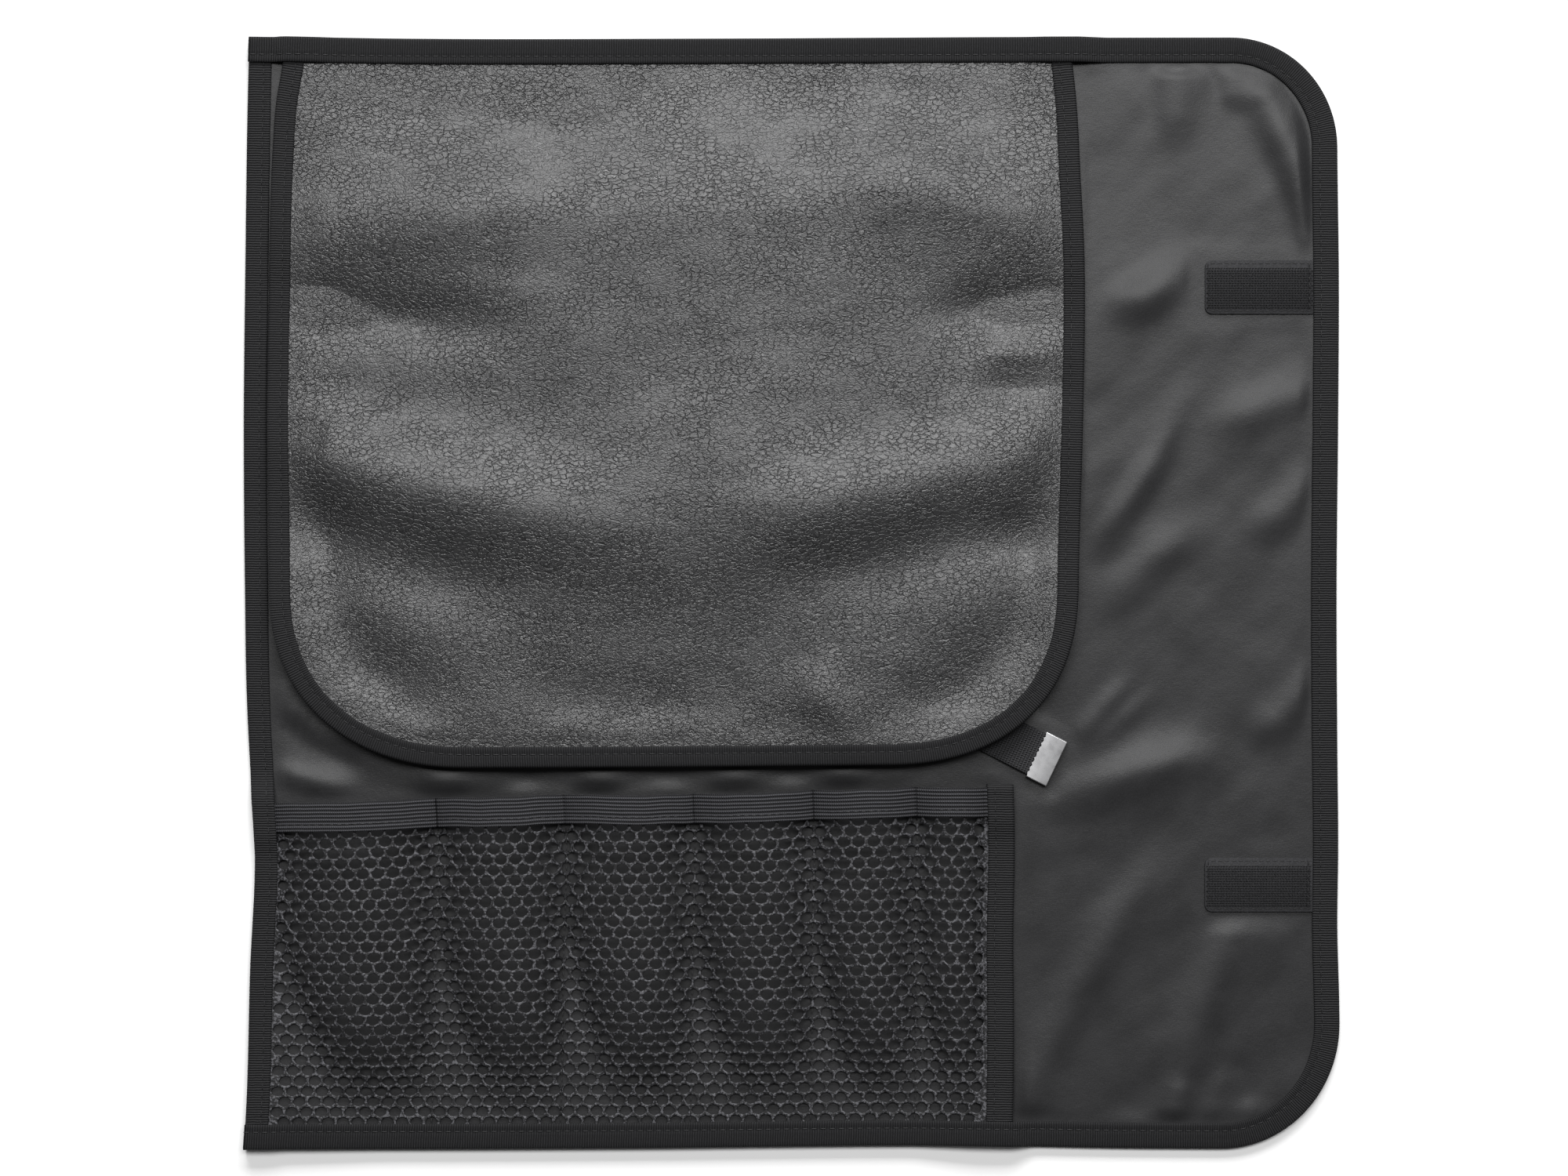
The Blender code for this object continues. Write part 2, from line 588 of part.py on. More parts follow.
def make_flap_binding():
    path = thinned(flap_outline(0.0), 0.0165)
    inset = EDGE_INSET + GAP
    path = [(x, min(y, TOP - inset)) for x, y in path]
    stations = [(*place, 0.0) for place in with_normals(path, 1)]
    return folded_tape("flap_binding", stations, FLAP_TAPE_WIDTH,
                       lambda x, y: flap_low(x, y) - GAP - TAPE_THICK,
                       lambda x, y, _: flap_low(x, y) + FLAP_THICK + GAP + TAPE_THICK,
                       (0.018, 0.018, 0.020))


def net_columns():
    """Half-mesh stations across the pockets, with a margin at each end."""
    places = [LEFT + EDGE_INSET]
    start = POCKET_LEFT
    for width, _, _, meshes in POCKETS:
        places += [start + width * k / (2 * meshes) for k in range(2 * meshes)]
        start += width
    return places + [POCKET_RIGHT, SIDE_TAPE_X - EDGE_INSET]


def make_net():
    columns = net_columns()
    bm, table = grid(len(columns) - 1, NET_ROWS + 2)
    inner = len(columns) - 2
    foot = BOTTOM + EDGE_TAPE_WIDTH + NET_MARGIN
    for (i, j), vert in table.items():
        x = columns[i]
        rim = mouth_y(x) - ELASTIC_WIDTH - NET_MARGIN
        pitch = (rim - foot) / NET_ROWS
        if j == 0:
            y = BOTTOM + EDGE_INSET
        elif j == NET_ROWS + 2:
            y = mouth_y(x) - EDGE_INSET
        else:
            y = foot + pitch * (j - 1)
            if 0 < i <= inner:
                y += pitch * (0.17 if (i + j) % 2 else -0.17)
        vert.co = (x, y, 0.0)
    # Each mesh of the net joins two neighbouring cells, offset row by row.
    joined = []
    for j in range(1, NET_ROWS + 1):
        for i in range(2 + j % 2, inner, 2):
            low, high = table[i, j], table[i, j + 1]
            joined.append(next(e for e in low.link_edges if e.other_vert(low) == high))
    bmesh.ops.dissolve_edges(bm, edges=joined, use_verts=False, use_face_split=False)
    meshes = [face for face in bm.faces if len(face.verts) == 6]
    bmesh.ops.inset_individual(bm, faces=meshes, thickness=NET_STRAND / 2, use_even_offset=True)
    bmesh.ops.delete(bm, geom=[f for f in meshes if f.is_valid], context="FACES_ONLY")
    for vert in bm.verts:
        x, y, _ = vert.co
        vert.co = (*laid(x, y), net_low(x, y))
    return sheet("pocket_net", bm, NET_THICK, (0.022, 0.022, 0.024), 0.6)


def make_elastic():
    columns = net_columns()
    columns[-1] -= GAP
    bm, table = grid(len(columns) - 1, 2)
    for (i, j), vert in table.items():
        x = columns[i]
        y = mouth_y(x) - ELASTIC_WIDTH * (1 - j / 2)
        vert.co = (*laid(x, y), net_low(x, y) + NET_THICK + ELASTIC_CLEAR)
    return sheet("pocket_elastic", bm, ELASTIC_THICK, (0.030, 0.030, 0.033), 0.8)


def make_side_tape():
    x = SIDE_TAPE_X
    mouth = mouth_y(x)
    over_net = SIDE_SEAT + NET_LEVEL
    over_band = SIDE_SEAT + ELASTIC_LEVEL
    marks = [
        (BOTTOM + EDGE_INSET + GAP, over_net), (BOTTOM + EDGE_TAPE_WIDTH, over_net),
        (mouth - ELASTIC_WIDTH - 0.010, over_net), (mouth - ELASTIC_WIDTH - 0.002, over_band),
        (mouth + SIDE_TAPE_ABOVE, over_band),
    ]
    stations = [(x, y, -1.0, 0.0, level) for y, level in levels_through(marks, [], 0.040)]
    return folded_tape("pocket_side_tape", stations, SIDE_TAPE_WIDTH,
                       lambda px, py: panel_top(px, py) + GAP,
                       lambda px, py, level: panel_top(px, py) + level + GAP + TAPE_THICK,
                       (0.018, 0.018, 0.020))


def make_hook_patch(name, middle):
    """Backing with a flat selvedge at both long sides, and the hooks' field
    as one block between them."""
    half = HOOK_WIDTH / 2
    field = half - HOOK_SELVEDGE
    section = [
        (-half, 0), (half, 0), (half, HOOK_BACKING), (field, HOOK_BACKING),
        (field, HOOK_BACKING + HOOK_PILE), (-field, HOOK_BACKING + HOOK_PILE),
        (-field, HOOK_BACKING), (-half, HOOK_BACKING),
    ]
    z = panel_top(HOOK_RIGHT, middle) + GAP
    ends = [HOOK_RIGHT - HOOK_LENGTH, HOOK_RIGHT - HOOK_LENGTH + HOOK_CORNER, HOOK_RIGHT]
    bm = bmesh.new()
    rings = []
    for k, x in enumerate(ends):
        trim = HOOK_CORNER if k == 0 else 0.0
        rings.append([bm.verts.new((*laid(x, middle + math.copysign(
            min(abs(y), half - trim), y)), z + rise)) for y, rise in section])
    for first, second in zip(rings, rings[1:]):
        for k in range(len(section)):
            j = (k + 1) % len(section)
            bm.faces.new((first[k], first[j], second[j], second[k]))
    bm.faces.new(rings[0])
    bm.faces.new(reversed(rings[-1]))
    return solid(name, bm, (0.014, 0.014, 0.015), 0.9)


def strap_point(s, across):
    """Place on the strap, s back from its metal end."""
    dx, dy = math.cos(STRAP_ANGLE), math.sin(STRAP_ANGLE)
    return STRAP_END_X - dx * s - dy * across, STRAP_END_Y - dy * s + dx * across


def strap_low(s):
    """The webbing comes up off the panel into the metal end."""
    seat = TAPE_THICK + GAP + PANEL_THICK + GAP
    return seat + (TIP_WALL + GAP) * (1 - smooth((s - TIP_LENGTH - 0.002) / STRAP_SETTLE))


def make_strap():
    settled = TIP_LENGTH + 0.002 + STRAP_SETTLE
    stops = spaced([TIP_WALL + GAP, TIP_LENGTH + 0.002], 0.020)[:-1]
    stops += spaced([TIP_LENGTH + 0.002, settled], STRAP_SETTLE / 4)[:-1]
    stops += spaced([settled, STRAP_LENGTH], 0.060)
    bm, table = grid(1, len(stops) - 1)
    for (i, j), vert in table.items():
        x, y = strap_point(stops[j], STRAP_WIDTH * (i - 0.5))
        vert.co = (*laid(x, y), strap_low(stops[j]))
    return sheet("strap", bm, STRAP_THICK, (0.020, 0.020, 0.022), 0.8)


def make_strap_tip():
    """Metal end folded over the webbing, open at its back."""
    half = STRAP_WIDTH / 2 + TIP_SIDE + TIP_WALL
    height = STRAP_THICK + 2 * (TIP_WALL + GAP)
    seat = TAPE_THICK + GAP + PANEL_THICK + GAP
    bm = bmesh.new()
    bmesh.ops.create_cube(bm, size=1.0)
    # local x is s back from the end, y across, z up
    for vert in bm.verts:
        vert.co = ((vert.co.x + 0.5) * TIP_LENGTH, vert.co.y * 2 * half,
                   (vert.co.z + 0.5) * height)
    edges = [e for e in bm.edges if all(v.co.x < 1e-6 for v in e.verts)]
    bmesh.ops.bevel(bm, geom=edges, offset=TIP_WALL * 0.7, offset_type="OFFSET", segments=2,
                    profile=0.5, affect="EDGES", material=-1)
    back = next(f for f in bm.faces if f.calc_center_median().x > TIP_LENGTH - 1e-6)
    bmesh.ops.inset_region(bm, faces=[back], thickness=TIP_WALL, use_even_offset=True)
    pushed = bmesh.ops.extrude_discrete_faces(bm, faces=[back])["faces"]
    for vert in pushed[0].verts:
        vert.co.x = TIP_WALL
    for vert in bm.verts:
        x, y = strap_point(vert.co.x, vert.co.y)
        vert.co = (*laid(x, y), seat + vert.co.z)
    return solid("strap_tip", bm, (0.50, 0.50, 0.52), 0.3, 1.0)


for old in list(bpy.data.objects):
    bpy.data.objects.remove(old, do_unlink=True)

make_panel()
make_edge_binding()
make_left_binding()
make_flap()
make_flap_binding()
make_net()
make_elastic()
make_side_tape()
make_hook_patch("hook_patch_upper", HOOK_UPPER_Y)
make_hook_patch("hook_patch_lower", HOOK_LOWER_Y)
make_strap()
make_strap_tip()
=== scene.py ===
"""Looks of the open knife roll: cloth, vinyl, tape, net, elastic and metal.

Laid out as an add-on with one operator for each group of pieces. Pieces are
drawn on the flat pattern of the roll, in metres, and passed through laid(),
which gives them their place on the table.
"""

import math

import bmesh
import bpy
import numpy as np
from mathutils import Matrix, Vector, noise


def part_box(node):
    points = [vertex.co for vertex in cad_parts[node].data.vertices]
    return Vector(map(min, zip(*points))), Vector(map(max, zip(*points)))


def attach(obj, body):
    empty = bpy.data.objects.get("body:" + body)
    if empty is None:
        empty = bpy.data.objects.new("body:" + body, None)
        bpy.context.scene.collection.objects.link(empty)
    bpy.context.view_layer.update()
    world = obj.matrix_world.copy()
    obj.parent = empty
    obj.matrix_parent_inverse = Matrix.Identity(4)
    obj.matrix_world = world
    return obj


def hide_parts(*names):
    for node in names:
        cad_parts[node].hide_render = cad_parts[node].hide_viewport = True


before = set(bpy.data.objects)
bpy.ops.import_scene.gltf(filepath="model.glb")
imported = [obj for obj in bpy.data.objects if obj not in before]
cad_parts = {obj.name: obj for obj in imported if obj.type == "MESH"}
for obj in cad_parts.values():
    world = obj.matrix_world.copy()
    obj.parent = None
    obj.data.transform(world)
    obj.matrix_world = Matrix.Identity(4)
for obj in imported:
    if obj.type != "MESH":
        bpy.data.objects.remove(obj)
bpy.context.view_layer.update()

bl_info = {
    "name": "Knife roll looks",
    "version": (1, 0, 0),
    "blender": (4, 5, 0),
    "location": "3D View > Sidebar > Knife roll",
    "description": "Cloth, vinyl, net, tape and metal of an open knife roll",
    "category": "Object",
}

# The pattern, in metres.
ROLL_WIDTH = 0.480
ROLL_LENGTH = 0.487
TOP_CORNER = (0.047, 0.048)
LOW_CORNER = (0.0515, 0.055)
PANEL_THICK = 0.0015
TAPE_THICK = 0.0008
EDGE_TAPE_WIDTH = 0.0112
LEFT_TAPE_WIDTH = 0.0102
SEAM_IN = 0.0033              # seam to the tape's inner edge
GAP = 0.0003
EDGE_INSET = TAPE_THICK + 0.0008
LIFT_RUN = 0.060
FLAP_WIDTH = 0.3575
FLAP_TO_MOUTH = 0.0098
FLAP_THICK = 0.0012
FLAP_CORNER = (0.086, 0.078)
FLAP_CORNER_POWER = 2.25
FLAP_TAPE_WIDTH = 0.0093
FLAP_RISE = 0.0060
FLAP_RISE_RUN = 0.062
POCKET_DEPTH = 0.1577
NET_THICK = 0.0010
NET_MARGIN = 0.0050
ELASTIC_WIDTH = 0.0127
ELASTIC_THICK = 0.0012
ELASTIC_CLEAR = 0.0006
SIDE_TAPE_WIDTH = 0.0117
SIDE_TAPE_ABOVE = 0.0015
HOOK_BACKING = 0.0009
STRAP_WIDTH = 0.0200
STRAP_THICK = 0.0016
STRAP_LENGTH = 0.125
STRAP_SETTLE = 0.020
STRAP_ANGLE = math.radians(-26.6)
TIP_LENGTH = 0.0098
TIP_WALL = 0.0006

LEFT = -ROLL_WIDTH / 2
RIGHT = ROLL_WIDTH / 2
TOP = ROLL_LENGTH / 2
BOTTOM = -ROLL_LENGTH / 2
FLAP_LEFT = LEFT + LEFT_TAPE_WIDTH + 0.0005
FLAP_RIGHT = FLAP_LEFT + FLAP_WIDTH
FLAP_LOW = BOTTOM + POCKET_DEPTH + FLAP_TO_MOUTH
FLAP_DROP = TOP - FLAP_LOW
POCKET_LEFT = LEFT + LEFT_TAPE_WIDTH
# width, bulge, share of the width at the pleat's foot, meshes of net across
POCKETS = [
    (0.0713, 0.0115, 0.42, 11),
    (0.0566, 0.0105, 0.40, 9),
    (0.0569, 0.0105, 0.38, 9),
    (0.0528, 0.0105, 0.35, 8),
    (0.0456, 0.0098, 0.35, 7),
    (0.0298, 0.0074, 0.35, 5),
]
POCKET_RIGHT = POCKET_LEFT + sum(row[0] for row in POCKETS)
SIDE_TAPE_X = POCKET_RIGHT + 0.0016 + SIDE_TAPE_WIDTH
NET_ROWS = 29
NET_UNDER_TAPE = 0.0015       # the net's first row lies this far under a tape
SEAM_UP = 0.0031              # the band's seam above its lower edge
OPEN_LEFT = 0.105             # columns of the panel right of here follow its corners
STRAP_END = (FLAP_RIGHT - 0.0124, FLAP_LOW + 0.0006)

NET_LEVEL = GAP + NET_THICK
ELASTIC_LEVEL = NET_LEVEL + ELASTIC_CLEAR + ELASTIC_THICK
TAPE_LEVEL = GAP + TAPE_THICK
FLAP_SEAT = GAP + TAPE_THICK + GAP
FLAP_LEVEL = FLAP_SEAT + FLAP_THICK
FLAP_TAPE_LEVEL = FLAP_LEVEL + GAP + TAPE_THICK
SIDE_SEAT = GAP + TAPE_THICK

# (share along the edge, bow inwards as a share of the roll's width)
LEFT_BOW = [(0.00, 0.0006), (0.03, 0.0025), (0.16, 0.0061), (0.27, 0.0104), (0.34, 0.0061),
            (0.40, 0.0030), (0.51, 0.0010), (0.66, 0.0000), (0.79, 0.0014), (0.90, 0.0029),
            (1.00, 0.0054)]
RIGHT_BOW = [(0.00, 0.0000), (0.13, 0.0000), (0.20, 0.0018), (0.27, 0.0010), (0.36, 0.0018),
             (0.50, 0.0025), (0.66, 0.0010), (0.78, 0.0004), (0.90, 0.0018), (1.00, 0.0020)]
TOP_BOW = [(0.00, 0.0000), (0.14, 0.0020), (0.42, 0.0020), (0.70, 0.0005), (1.00, 0.0000)]
LOW_BOW = [(0.00, 0.0000), (0.20, 0.0000), (0.34, 0.0007), (0.67, 0.0030), (0.80, 0.0007),
           (1.00, 0.0000)]
FLAP_LEFT_DRAW = [(0.00, 0.0160), (0.04, 0.0125), (0.09, 0.0062), (0.16, 0.0029),
                  (0.33, 0.0006), (0.48, 0.0000), (0.65, 0.0020), (1.00, 0.0024)]
FLAP_RIGHT_DRAW = [(0.00, 0.0170), (0.04, 0.0140), (0.08, 0.0100), (0.12, 0.0072),
                   (0.19, 0.0044), (0.29, 0.0006), (0.49, 0.0006), (0.60, 0.0028),
                   (0.76, 0.0063), (1.00, 0.0063)]
MOUTH_DIP = [(0.00, 0.039), (0.23, 0.021), (0.41, 0.013), (0.60, 0.013), (0.76, 0.006),
             (0.90, 0.000), (1.00, 0.000)]

# Folds: start, middle and end as shares of the piece from its lower left, then
# spread and rise as shares of its width.
FLAP_FOLDS = [
    (0.020, 0.449, 0.200, 0.350, 0.560, 0.310, 0.062, 0.0098),
    (0.300, 0.380, 0.520, 0.330, 0.800, 0.400, 0.110, 0.0060),
    (0.480, 0.330, 0.780, 0.360, 0.970, 0.454, 0.058, 0.0085),
    (0.020, 0.639, 0.120, 0.610, 0.380, 0.600, 0.036, -0.0062),
    (0.780, 0.615, 0.901, 0.624, 0.980, 0.633, 0.032, -0.0058),
    (0.640, 0.860, 0.820, 0.790, 0.970, 0.739, 0.058, 0.0058),
    (0.050, 0.330, 0.181, 0.250, 0.360, 0.219, 0.050, -0.0042),
    (0.560, 0.250, 0.760, 0.270, 0.950, 0.330, 0.045, -0.0040),
    (0.057, 0.330, 0.057, 0.095, 0.300, 0.060, 0.048, -0.0058),
    (0.944, 0.290, 0.944, 0.089, 0.700, 0.060, 0.048, -0.0058),
    (0.640, 0.140, 0.690, 0.090, 0.710, 0.030, 0.030, 0.0036),
    (0.260, 0.110, 0.420, 0.075, 0.640, 0.100, 0.040, -0.0030),
    (0.020, 0.728, 0.172, 0.742, 0.402, 0.781, 0.050, 0.0044),
    (0.200, 0.960, 0.360, 0.880, 0.500, 0.860, 0.060, -0.0035),
    (0.862, 0.565, 0.920, 0.567, 0.980, 0.565, 0.014, 0.0022),
    (0.853, 0.513, 0.920, 0.513, 0.980, 0.513, 0.019, -0.0034),
    (0.023, 0.644, 0.057, 0.651, 0.114, 0.637, 0.014, -0.0020),
    (0.026, 0.465, 0.057, 0.459, 0.086, 0.449, 0.022, -0.0022),
]
PANEL_FOLDS = [
    (0.933, 0.945, 0.961, 0.892, 0.985, 0.807, 0.019, 0.0050),
    (0.920, 0.927, 0.950, 0.867, 0.973, 0.797, 0.014, -0.0015),
    (0.852, 0.974, 0.854, 0.941, 0.843, 0.892, 0.020, 0.0030),
    (0.825, 0.974, 0.828, 0.948, 0.836, 0.899, 0.014, -0.0012),
    (0.904, 0.974, 0.908, 0.955, 0.893, 0.934, 0.014, 0.0017),
    (0.885, 0.974, 0.886, 0.962, 0.890, 0.954, 0.009, -0.0009),
    (0.775, 0.779, 0.829, 0.733, 0.868, 0.828, 0.019, 0.0046),
    (0.768, 0.526, 0.815, 0.582, 0.872, 0.695, 0.013, 0.0038),
    (0.745, 0.339, 0.779, 0.395, 0.823, 0.434, 0.010, 0.0022),
    (0.754, 0.336, 0.793, 0.385, 0.843, 0.420, 0.010, 0.0013),
    (0.708, 0.297, 0.815, 0.346, 0.915, 0.360, 0.021, 0.0050),
    (0.915, 0.360, 0.950, 0.385, 0.979, 0.420, 0.017, 0.0029),
    (0.915, 0.540, 0.950, 0.575, 0.979, 0.596, 0.015, 0.0025),
    (0.772, 0.469, 0.829, 0.526, 0.893, 0.582, 0.017, 0.0025),
    (0.715, 0.047, 0.779, 0.202, 0.865, 0.286, 0.019, 0.0031),
    (0.850, 0.033, 0.872, 0.153, 0.936, 0.258, 0.019, 0.0033),
    (0.847, 0.027, 0.850, 0.047, 0.858, 0.068, 0.011, 0.0014),
    (0.883, 0.027, 0.886, 0.047, 0.900, 0.082, 0.011, 0.0015),
    (0.904, 0.089, 0.915, 0.068, 0.916, 0.050, 0.011, -0.0012),
    (0.976, 0.681, 0.922, 0.667, 0.879, 0.638, 0.017, 0.0021),
    (0.029, 0.339, 0.057, 0.329, 0.100, 0.323, 0.010, 0.0029),
    (0.043, 0.378, 0.079, 0.350, 0.115, 0.336, 0.010, -0.0017),
    (0.030, 0.413, 0.045, 0.378, 0.086, 0.353, 0.008, 0.0019),
    (0.175, 0.314, 0.175, 0.329, 0.179, 0.353, 0.019, 0.0033),
    (0.318, 0.314, 0.318, 0.329, 0.322, 0.353, 0.019, 0.0033),
    (0.440, 0.316, 0.440, 0.329, 0.443, 0.353, 0.017, 0.0025),
    (0.543, 0.319, 0.543, 0.329, 0.547, 0.353, 0.017, 0.0027),
    (0.254, 0.316, 0.252, 0.336, 0.250, 0.353, 0.017, -0.0019),
    (0.386, 0.317, 0.386, 0.336, 0.385, 0.353, 0.017, -0.0019),
    (0.497, 0.319, 0.497, 0.336, 0.495, 0.353, 0.017, -0.0019),
]


# Pattern and heights. These take numbers or arrays.

def smooth(t):
    t = np.clip(t, 0.0, 1.0)
    return t * t * (3 - 2 * t)


def along(table, t):
    """Rounded curve through a table of (place, value) rows."""
    places = np.array([row[0] for row in table])
    values = np.array([row[1] for row in table])
    slopes = np.gradient(values, places)
    t = np.clip(t, places[0], places[-1])
    i = np.clip(np.searchsorted(places, t, side="right") - 1, 0, len(table) - 2)
    span = places[i + 1] - places[i]
    s = (t - places[i]) / span
    return ((2 * s**3 - 3 * s**2 + 1) * values[i] + (s**3 - 2 * s**2 + s) * slopes[i] * span
            + (3 * s**2 - 2 * s**3) * values[i + 1] + (s**3 - s**2) * slopes[i + 1] * span)


def levels(table, t):
    """Straight lines through a table of (place, level) rows."""
    return np.interp(t, [row[0] for row in table], [row[1] for row in table])


def laid(x, y):
    """Pattern point to its place on the table."""
    u = (x - LEFT) / ROLL_WIDTH
    v = (y - BOTTOM) / ROLL_LENGTH
    shift_x = along(LEFT_BOW, v) * (1 - u) - along(RIGHT_BOW, v) * u
    shift_y = along(LOW_BOW, u) * (1 - v) - along(TOP_BOW, u) * v
    return x + shift_x * ROLL_WIDTH, y + shift_y * ROLL_WIDTH


def fold_height(table, u, v, width, length):
    """Sum of a table's folds at places of a piece."""
    total = np.zeros_like(u)
    for u0, v0, u1, v1, u2, v2, spread, rise in table:
        t = np.linspace(0, 1, 13)
        xs = ((1 - t)**2 * u0 + 2 * t * (1 - t) * u1 + t * t * u2) * width
        ys = ((1 - t)**2 * v0 + 2 * t * (1 - t) * v1 + t * t * v2) * length
        nearest = np.full_like(u, 1.0)
        place = np.zeros_like(u)
        for k, (ax, ay, bx, by) in enumerate(zip(xs, ys, xs[1:], ys[1:])):
            run = ((u * width - ax) * (bx - ax) + (v * length - ay) * (by - ay))
            s = np.clip(run / ((bx - ax)**2 + (by - ay)**2), 0, 1)
            away = np.hypot(u * width - ax - (bx - ax) * s, v * length - ay - (by - ay) * s)
            place = np.where(away < nearest, (k + s) / (len(t) - 1), place)
            nearest = np.minimum(nearest, away)
        # a fold dies away at an end that isn't at the edge of its piece
        start = 1.0 if min(u0, v0, 1 - u0, 1 - v0) < 0.06 else smooth(place / 0.45)
        end = 1.0 if min(u2, v2, 1 - u2, 1 - v2) < 0.06 else smooth((1 - place) / 0.45)
        total += start * end * rise * width * np.exp(-(nearest / (spread * width))**2)
    return total


def ripples(x, y, size, seed, stretch=1.0, turn=0.0):
    """Soft random relief from -1 to 1, drawn out along one direction."""
    c, s = math.cos(turn), math.sin(turn)
    across, up = (c * x + s * y) / stretch, -s * x + c * y
    flat = [noise.noise(Vector((a / size, b / size, seed)))
            for a, b in zip(np.ravel(across), np.ravel(up))]
    return np.array(flat).reshape(np.shape(x))


def panel_low(x, y):
    """Underside of the panel, lifted where two tapes lie under it."""
    near_left = 1 - smooth((x - LEFT - LEFT_TAPE_WIDTH) / LIFT_RUN)
    near_end = 1 - smooth((TOP - np.abs(y) - EDGE_TAPE_WIDTH) / LIFT_RUN)
    return (TAPE_THICK + GAP) * (1 + near_left * near_end)


def panel_top(x, y):
    return panel_low(x, y) + PANEL_THICK


def right_edge(y, inset):
    """Right-hand outline of the panel with its two round corners."""
    share_top = (y - (TOP - TOP_CORNER[1])) / (TOP_CORNER[1] - inset)
    share_low = ((BOTTOM + LOW_CORNER[1]) - y) / (LOW_CORNER[1] - inset)
    draw_top = 1 - np.sqrt(1 - np.clip(share_top, 0, 1)**2)
    draw_low = 1 - np.sqrt(1 - np.clip(share_low, 0, 1)**2)
    return (RIGHT - inset - (TOP_CORNER[0] - inset) * draw_top
            - (LOW_CORNER[0] - inset) * draw_low)


def outside(x, y, left, right, low, high):
    """Distance of points outside a rectangle."""
    return np.hypot(np.maximum(np.maximum(left - x, x - right), 0),
                    np.maximum(np.maximum(low - y, y - high), 0))


def mouth_y(x):
    """Upper edge of the elastic band."""
    share = (x - POCKET_LEFT) / (POCKET_RIGHT - POCKET_LEFT)
    return BOTTOM + POCKET_DEPTH * (1 - along(MOUTH_DIP, share))


def strap_place(s, across):
    """Place on the strap, s back from its metal end."""
    dx, dy = math.cos(STRAP_ANGLE), math.sin(STRAP_ANGLE)
    return STRAP_END[0] - dx * s - dy * across, STRAP_END[1] - dy * s + dx * across


def strap_low(s):
    seat = TAPE_THICK + GAP + PANEL_THICK + GAP
    return seat + (TIP_WALL + GAP) * (1 - smooth((s - TIP_LENGTH - 0.002) / STRAP_SETTLE))


def panel_relief(x, y):
    """Folds and small creases of the open cloth, flat where things are sewn on."""
    edge = np.minimum(np.minimum(right_edge(y, 0.0) - x, x - LEFT),
                      np.minimum(TOP - y, y - BOTTOM))
    quiet = smooth((edge - EDGE_TAPE_WIDTH) / 0.007)
    under_flap = smooth((FLAP_RIGHT + 0.003 - x) / 0.004) * smooth((y - FLAP_LOW - 0.030) / 0.03)
    quiet = quiet * (1 - under_flap)
    in_pockets = smooth((SIDE_TAPE_X + 0.005 - x) / 0.004)
    quiet = quiet * (1 - in_pockets * smooth((mouth_y(x) + 0.0055 - y) / 0.005))
    for name in ("hook_patch_upper", "hook_patch_lower"):
        low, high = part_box(name)
        away = outside(x, y, low[0], high[0] + 0.02, low[1], high[1])
        quiet = quiet * smooth((away - 0.001) / 0.010)
    dx, dy = math.cos(STRAP_ANGLE), math.sin(STRAP_ANGLE)
    back = (STRAP_END[0] - x) * dx + (STRAP_END[1] - y) * dy
    side = (x - STRAP_END[0]) * -dy + (y - STRAP_END[1]) * dx
    away = outside(back, side, 0.0, STRAP_LENGTH, -STRAP_WIDTH / 2, STRAP_WIDTH / 2)
    quiet = quiet * smooth((away - 0.0012) / 0.008)
    u = (x - LEFT) / ROLL_WIDTH
    v = (y - BOTTOM) / ROLL_LENGTH
    folds = fold_height(PANEL_FOLDS, u, v, ROLL_WIDTH, ROLL_LENGTH)
    small = (0.00085 * ripples(x, y, 0.030, 3.0, 1.7, 0.95)
             + 0.00016 * ripples(x, y, 0.010, 7.0, 1.8, 0.75))
    seat = TAPE_THICK + GAP
    return np.maximum(quiet * (folds + small), -0.9 * seat)


def flap_outline(inset):
    """The flap's free edge from the top left round the bottom to the top right."""
    straight_low = FLAP_LOW + FLAP_CORNER[1]
    ys = np.linspace(TOP, straight_low, 140)[:-1]
    turn = np.linspace(0, math.pi / 2, 160)
    xs = np.concatenate([np.full_like(ys, FLAP_LEFT), FLAP_LEFT + FLAP_CORNER[0]
                         * (1 - np.cos(turn)**(2 / FLAP_CORNER_POWER))])
    ys = np.concatenate([ys, straight_low - FLAP_CORNER[1]
                         * np.sin(turn)**(2 / FLAP_CORNER_POWER)])
    xs = np.concatenate([xs, FLAP_LEFT + FLAP_RIGHT - xs[::-1]])
    ys = np.concatenate([ys, ys[::-1]])
    share = (TOP - ys) / FLAP_DROP
    u = (xs - FLAP_LEFT) / FLAP_WIDTH
    xs = xs + FLAP_WIDTH * (along(FLAP_LEFT_DRAW, share) * (1 - u)
                            - along(FLAP_RIGHT_DRAW, share) * u)
    nx, ny = inward_normals(xs, ys, 1)
    return xs + nx * inset, ys + ny * inset


def inward_normals(xs, ys, side):
    """Unit normals of a path, to the left of it for side 1."""
    tx, ty = np.gradient(xs), np.gradient(ys)
    length = np.hypot(tx, ty)
    return -side * ty / length, side * tx / length


def flap_edge_distance(x, y):
    side = np.minimum(x - FLAP_LEFT, FLAP_RIGHT - x)
    up = y - FLAP_LOW
    a = np.clip(1 - side / FLAP_CORNER[0], 0, 1)
    b = np.clip(1 - up / FLAP_CORNER[1], 0, 1)
    reach = (a**FLAP_CORNER_POWER + b**FLAP_CORNER_POWER)**(1 / FLAP_CORNER_POWER)
    in_corner = (a > 0) & (b > 0)
    return np.where(in_corner, (1 - reach) * FLAP_CORNER[1], np.minimum(side, up))


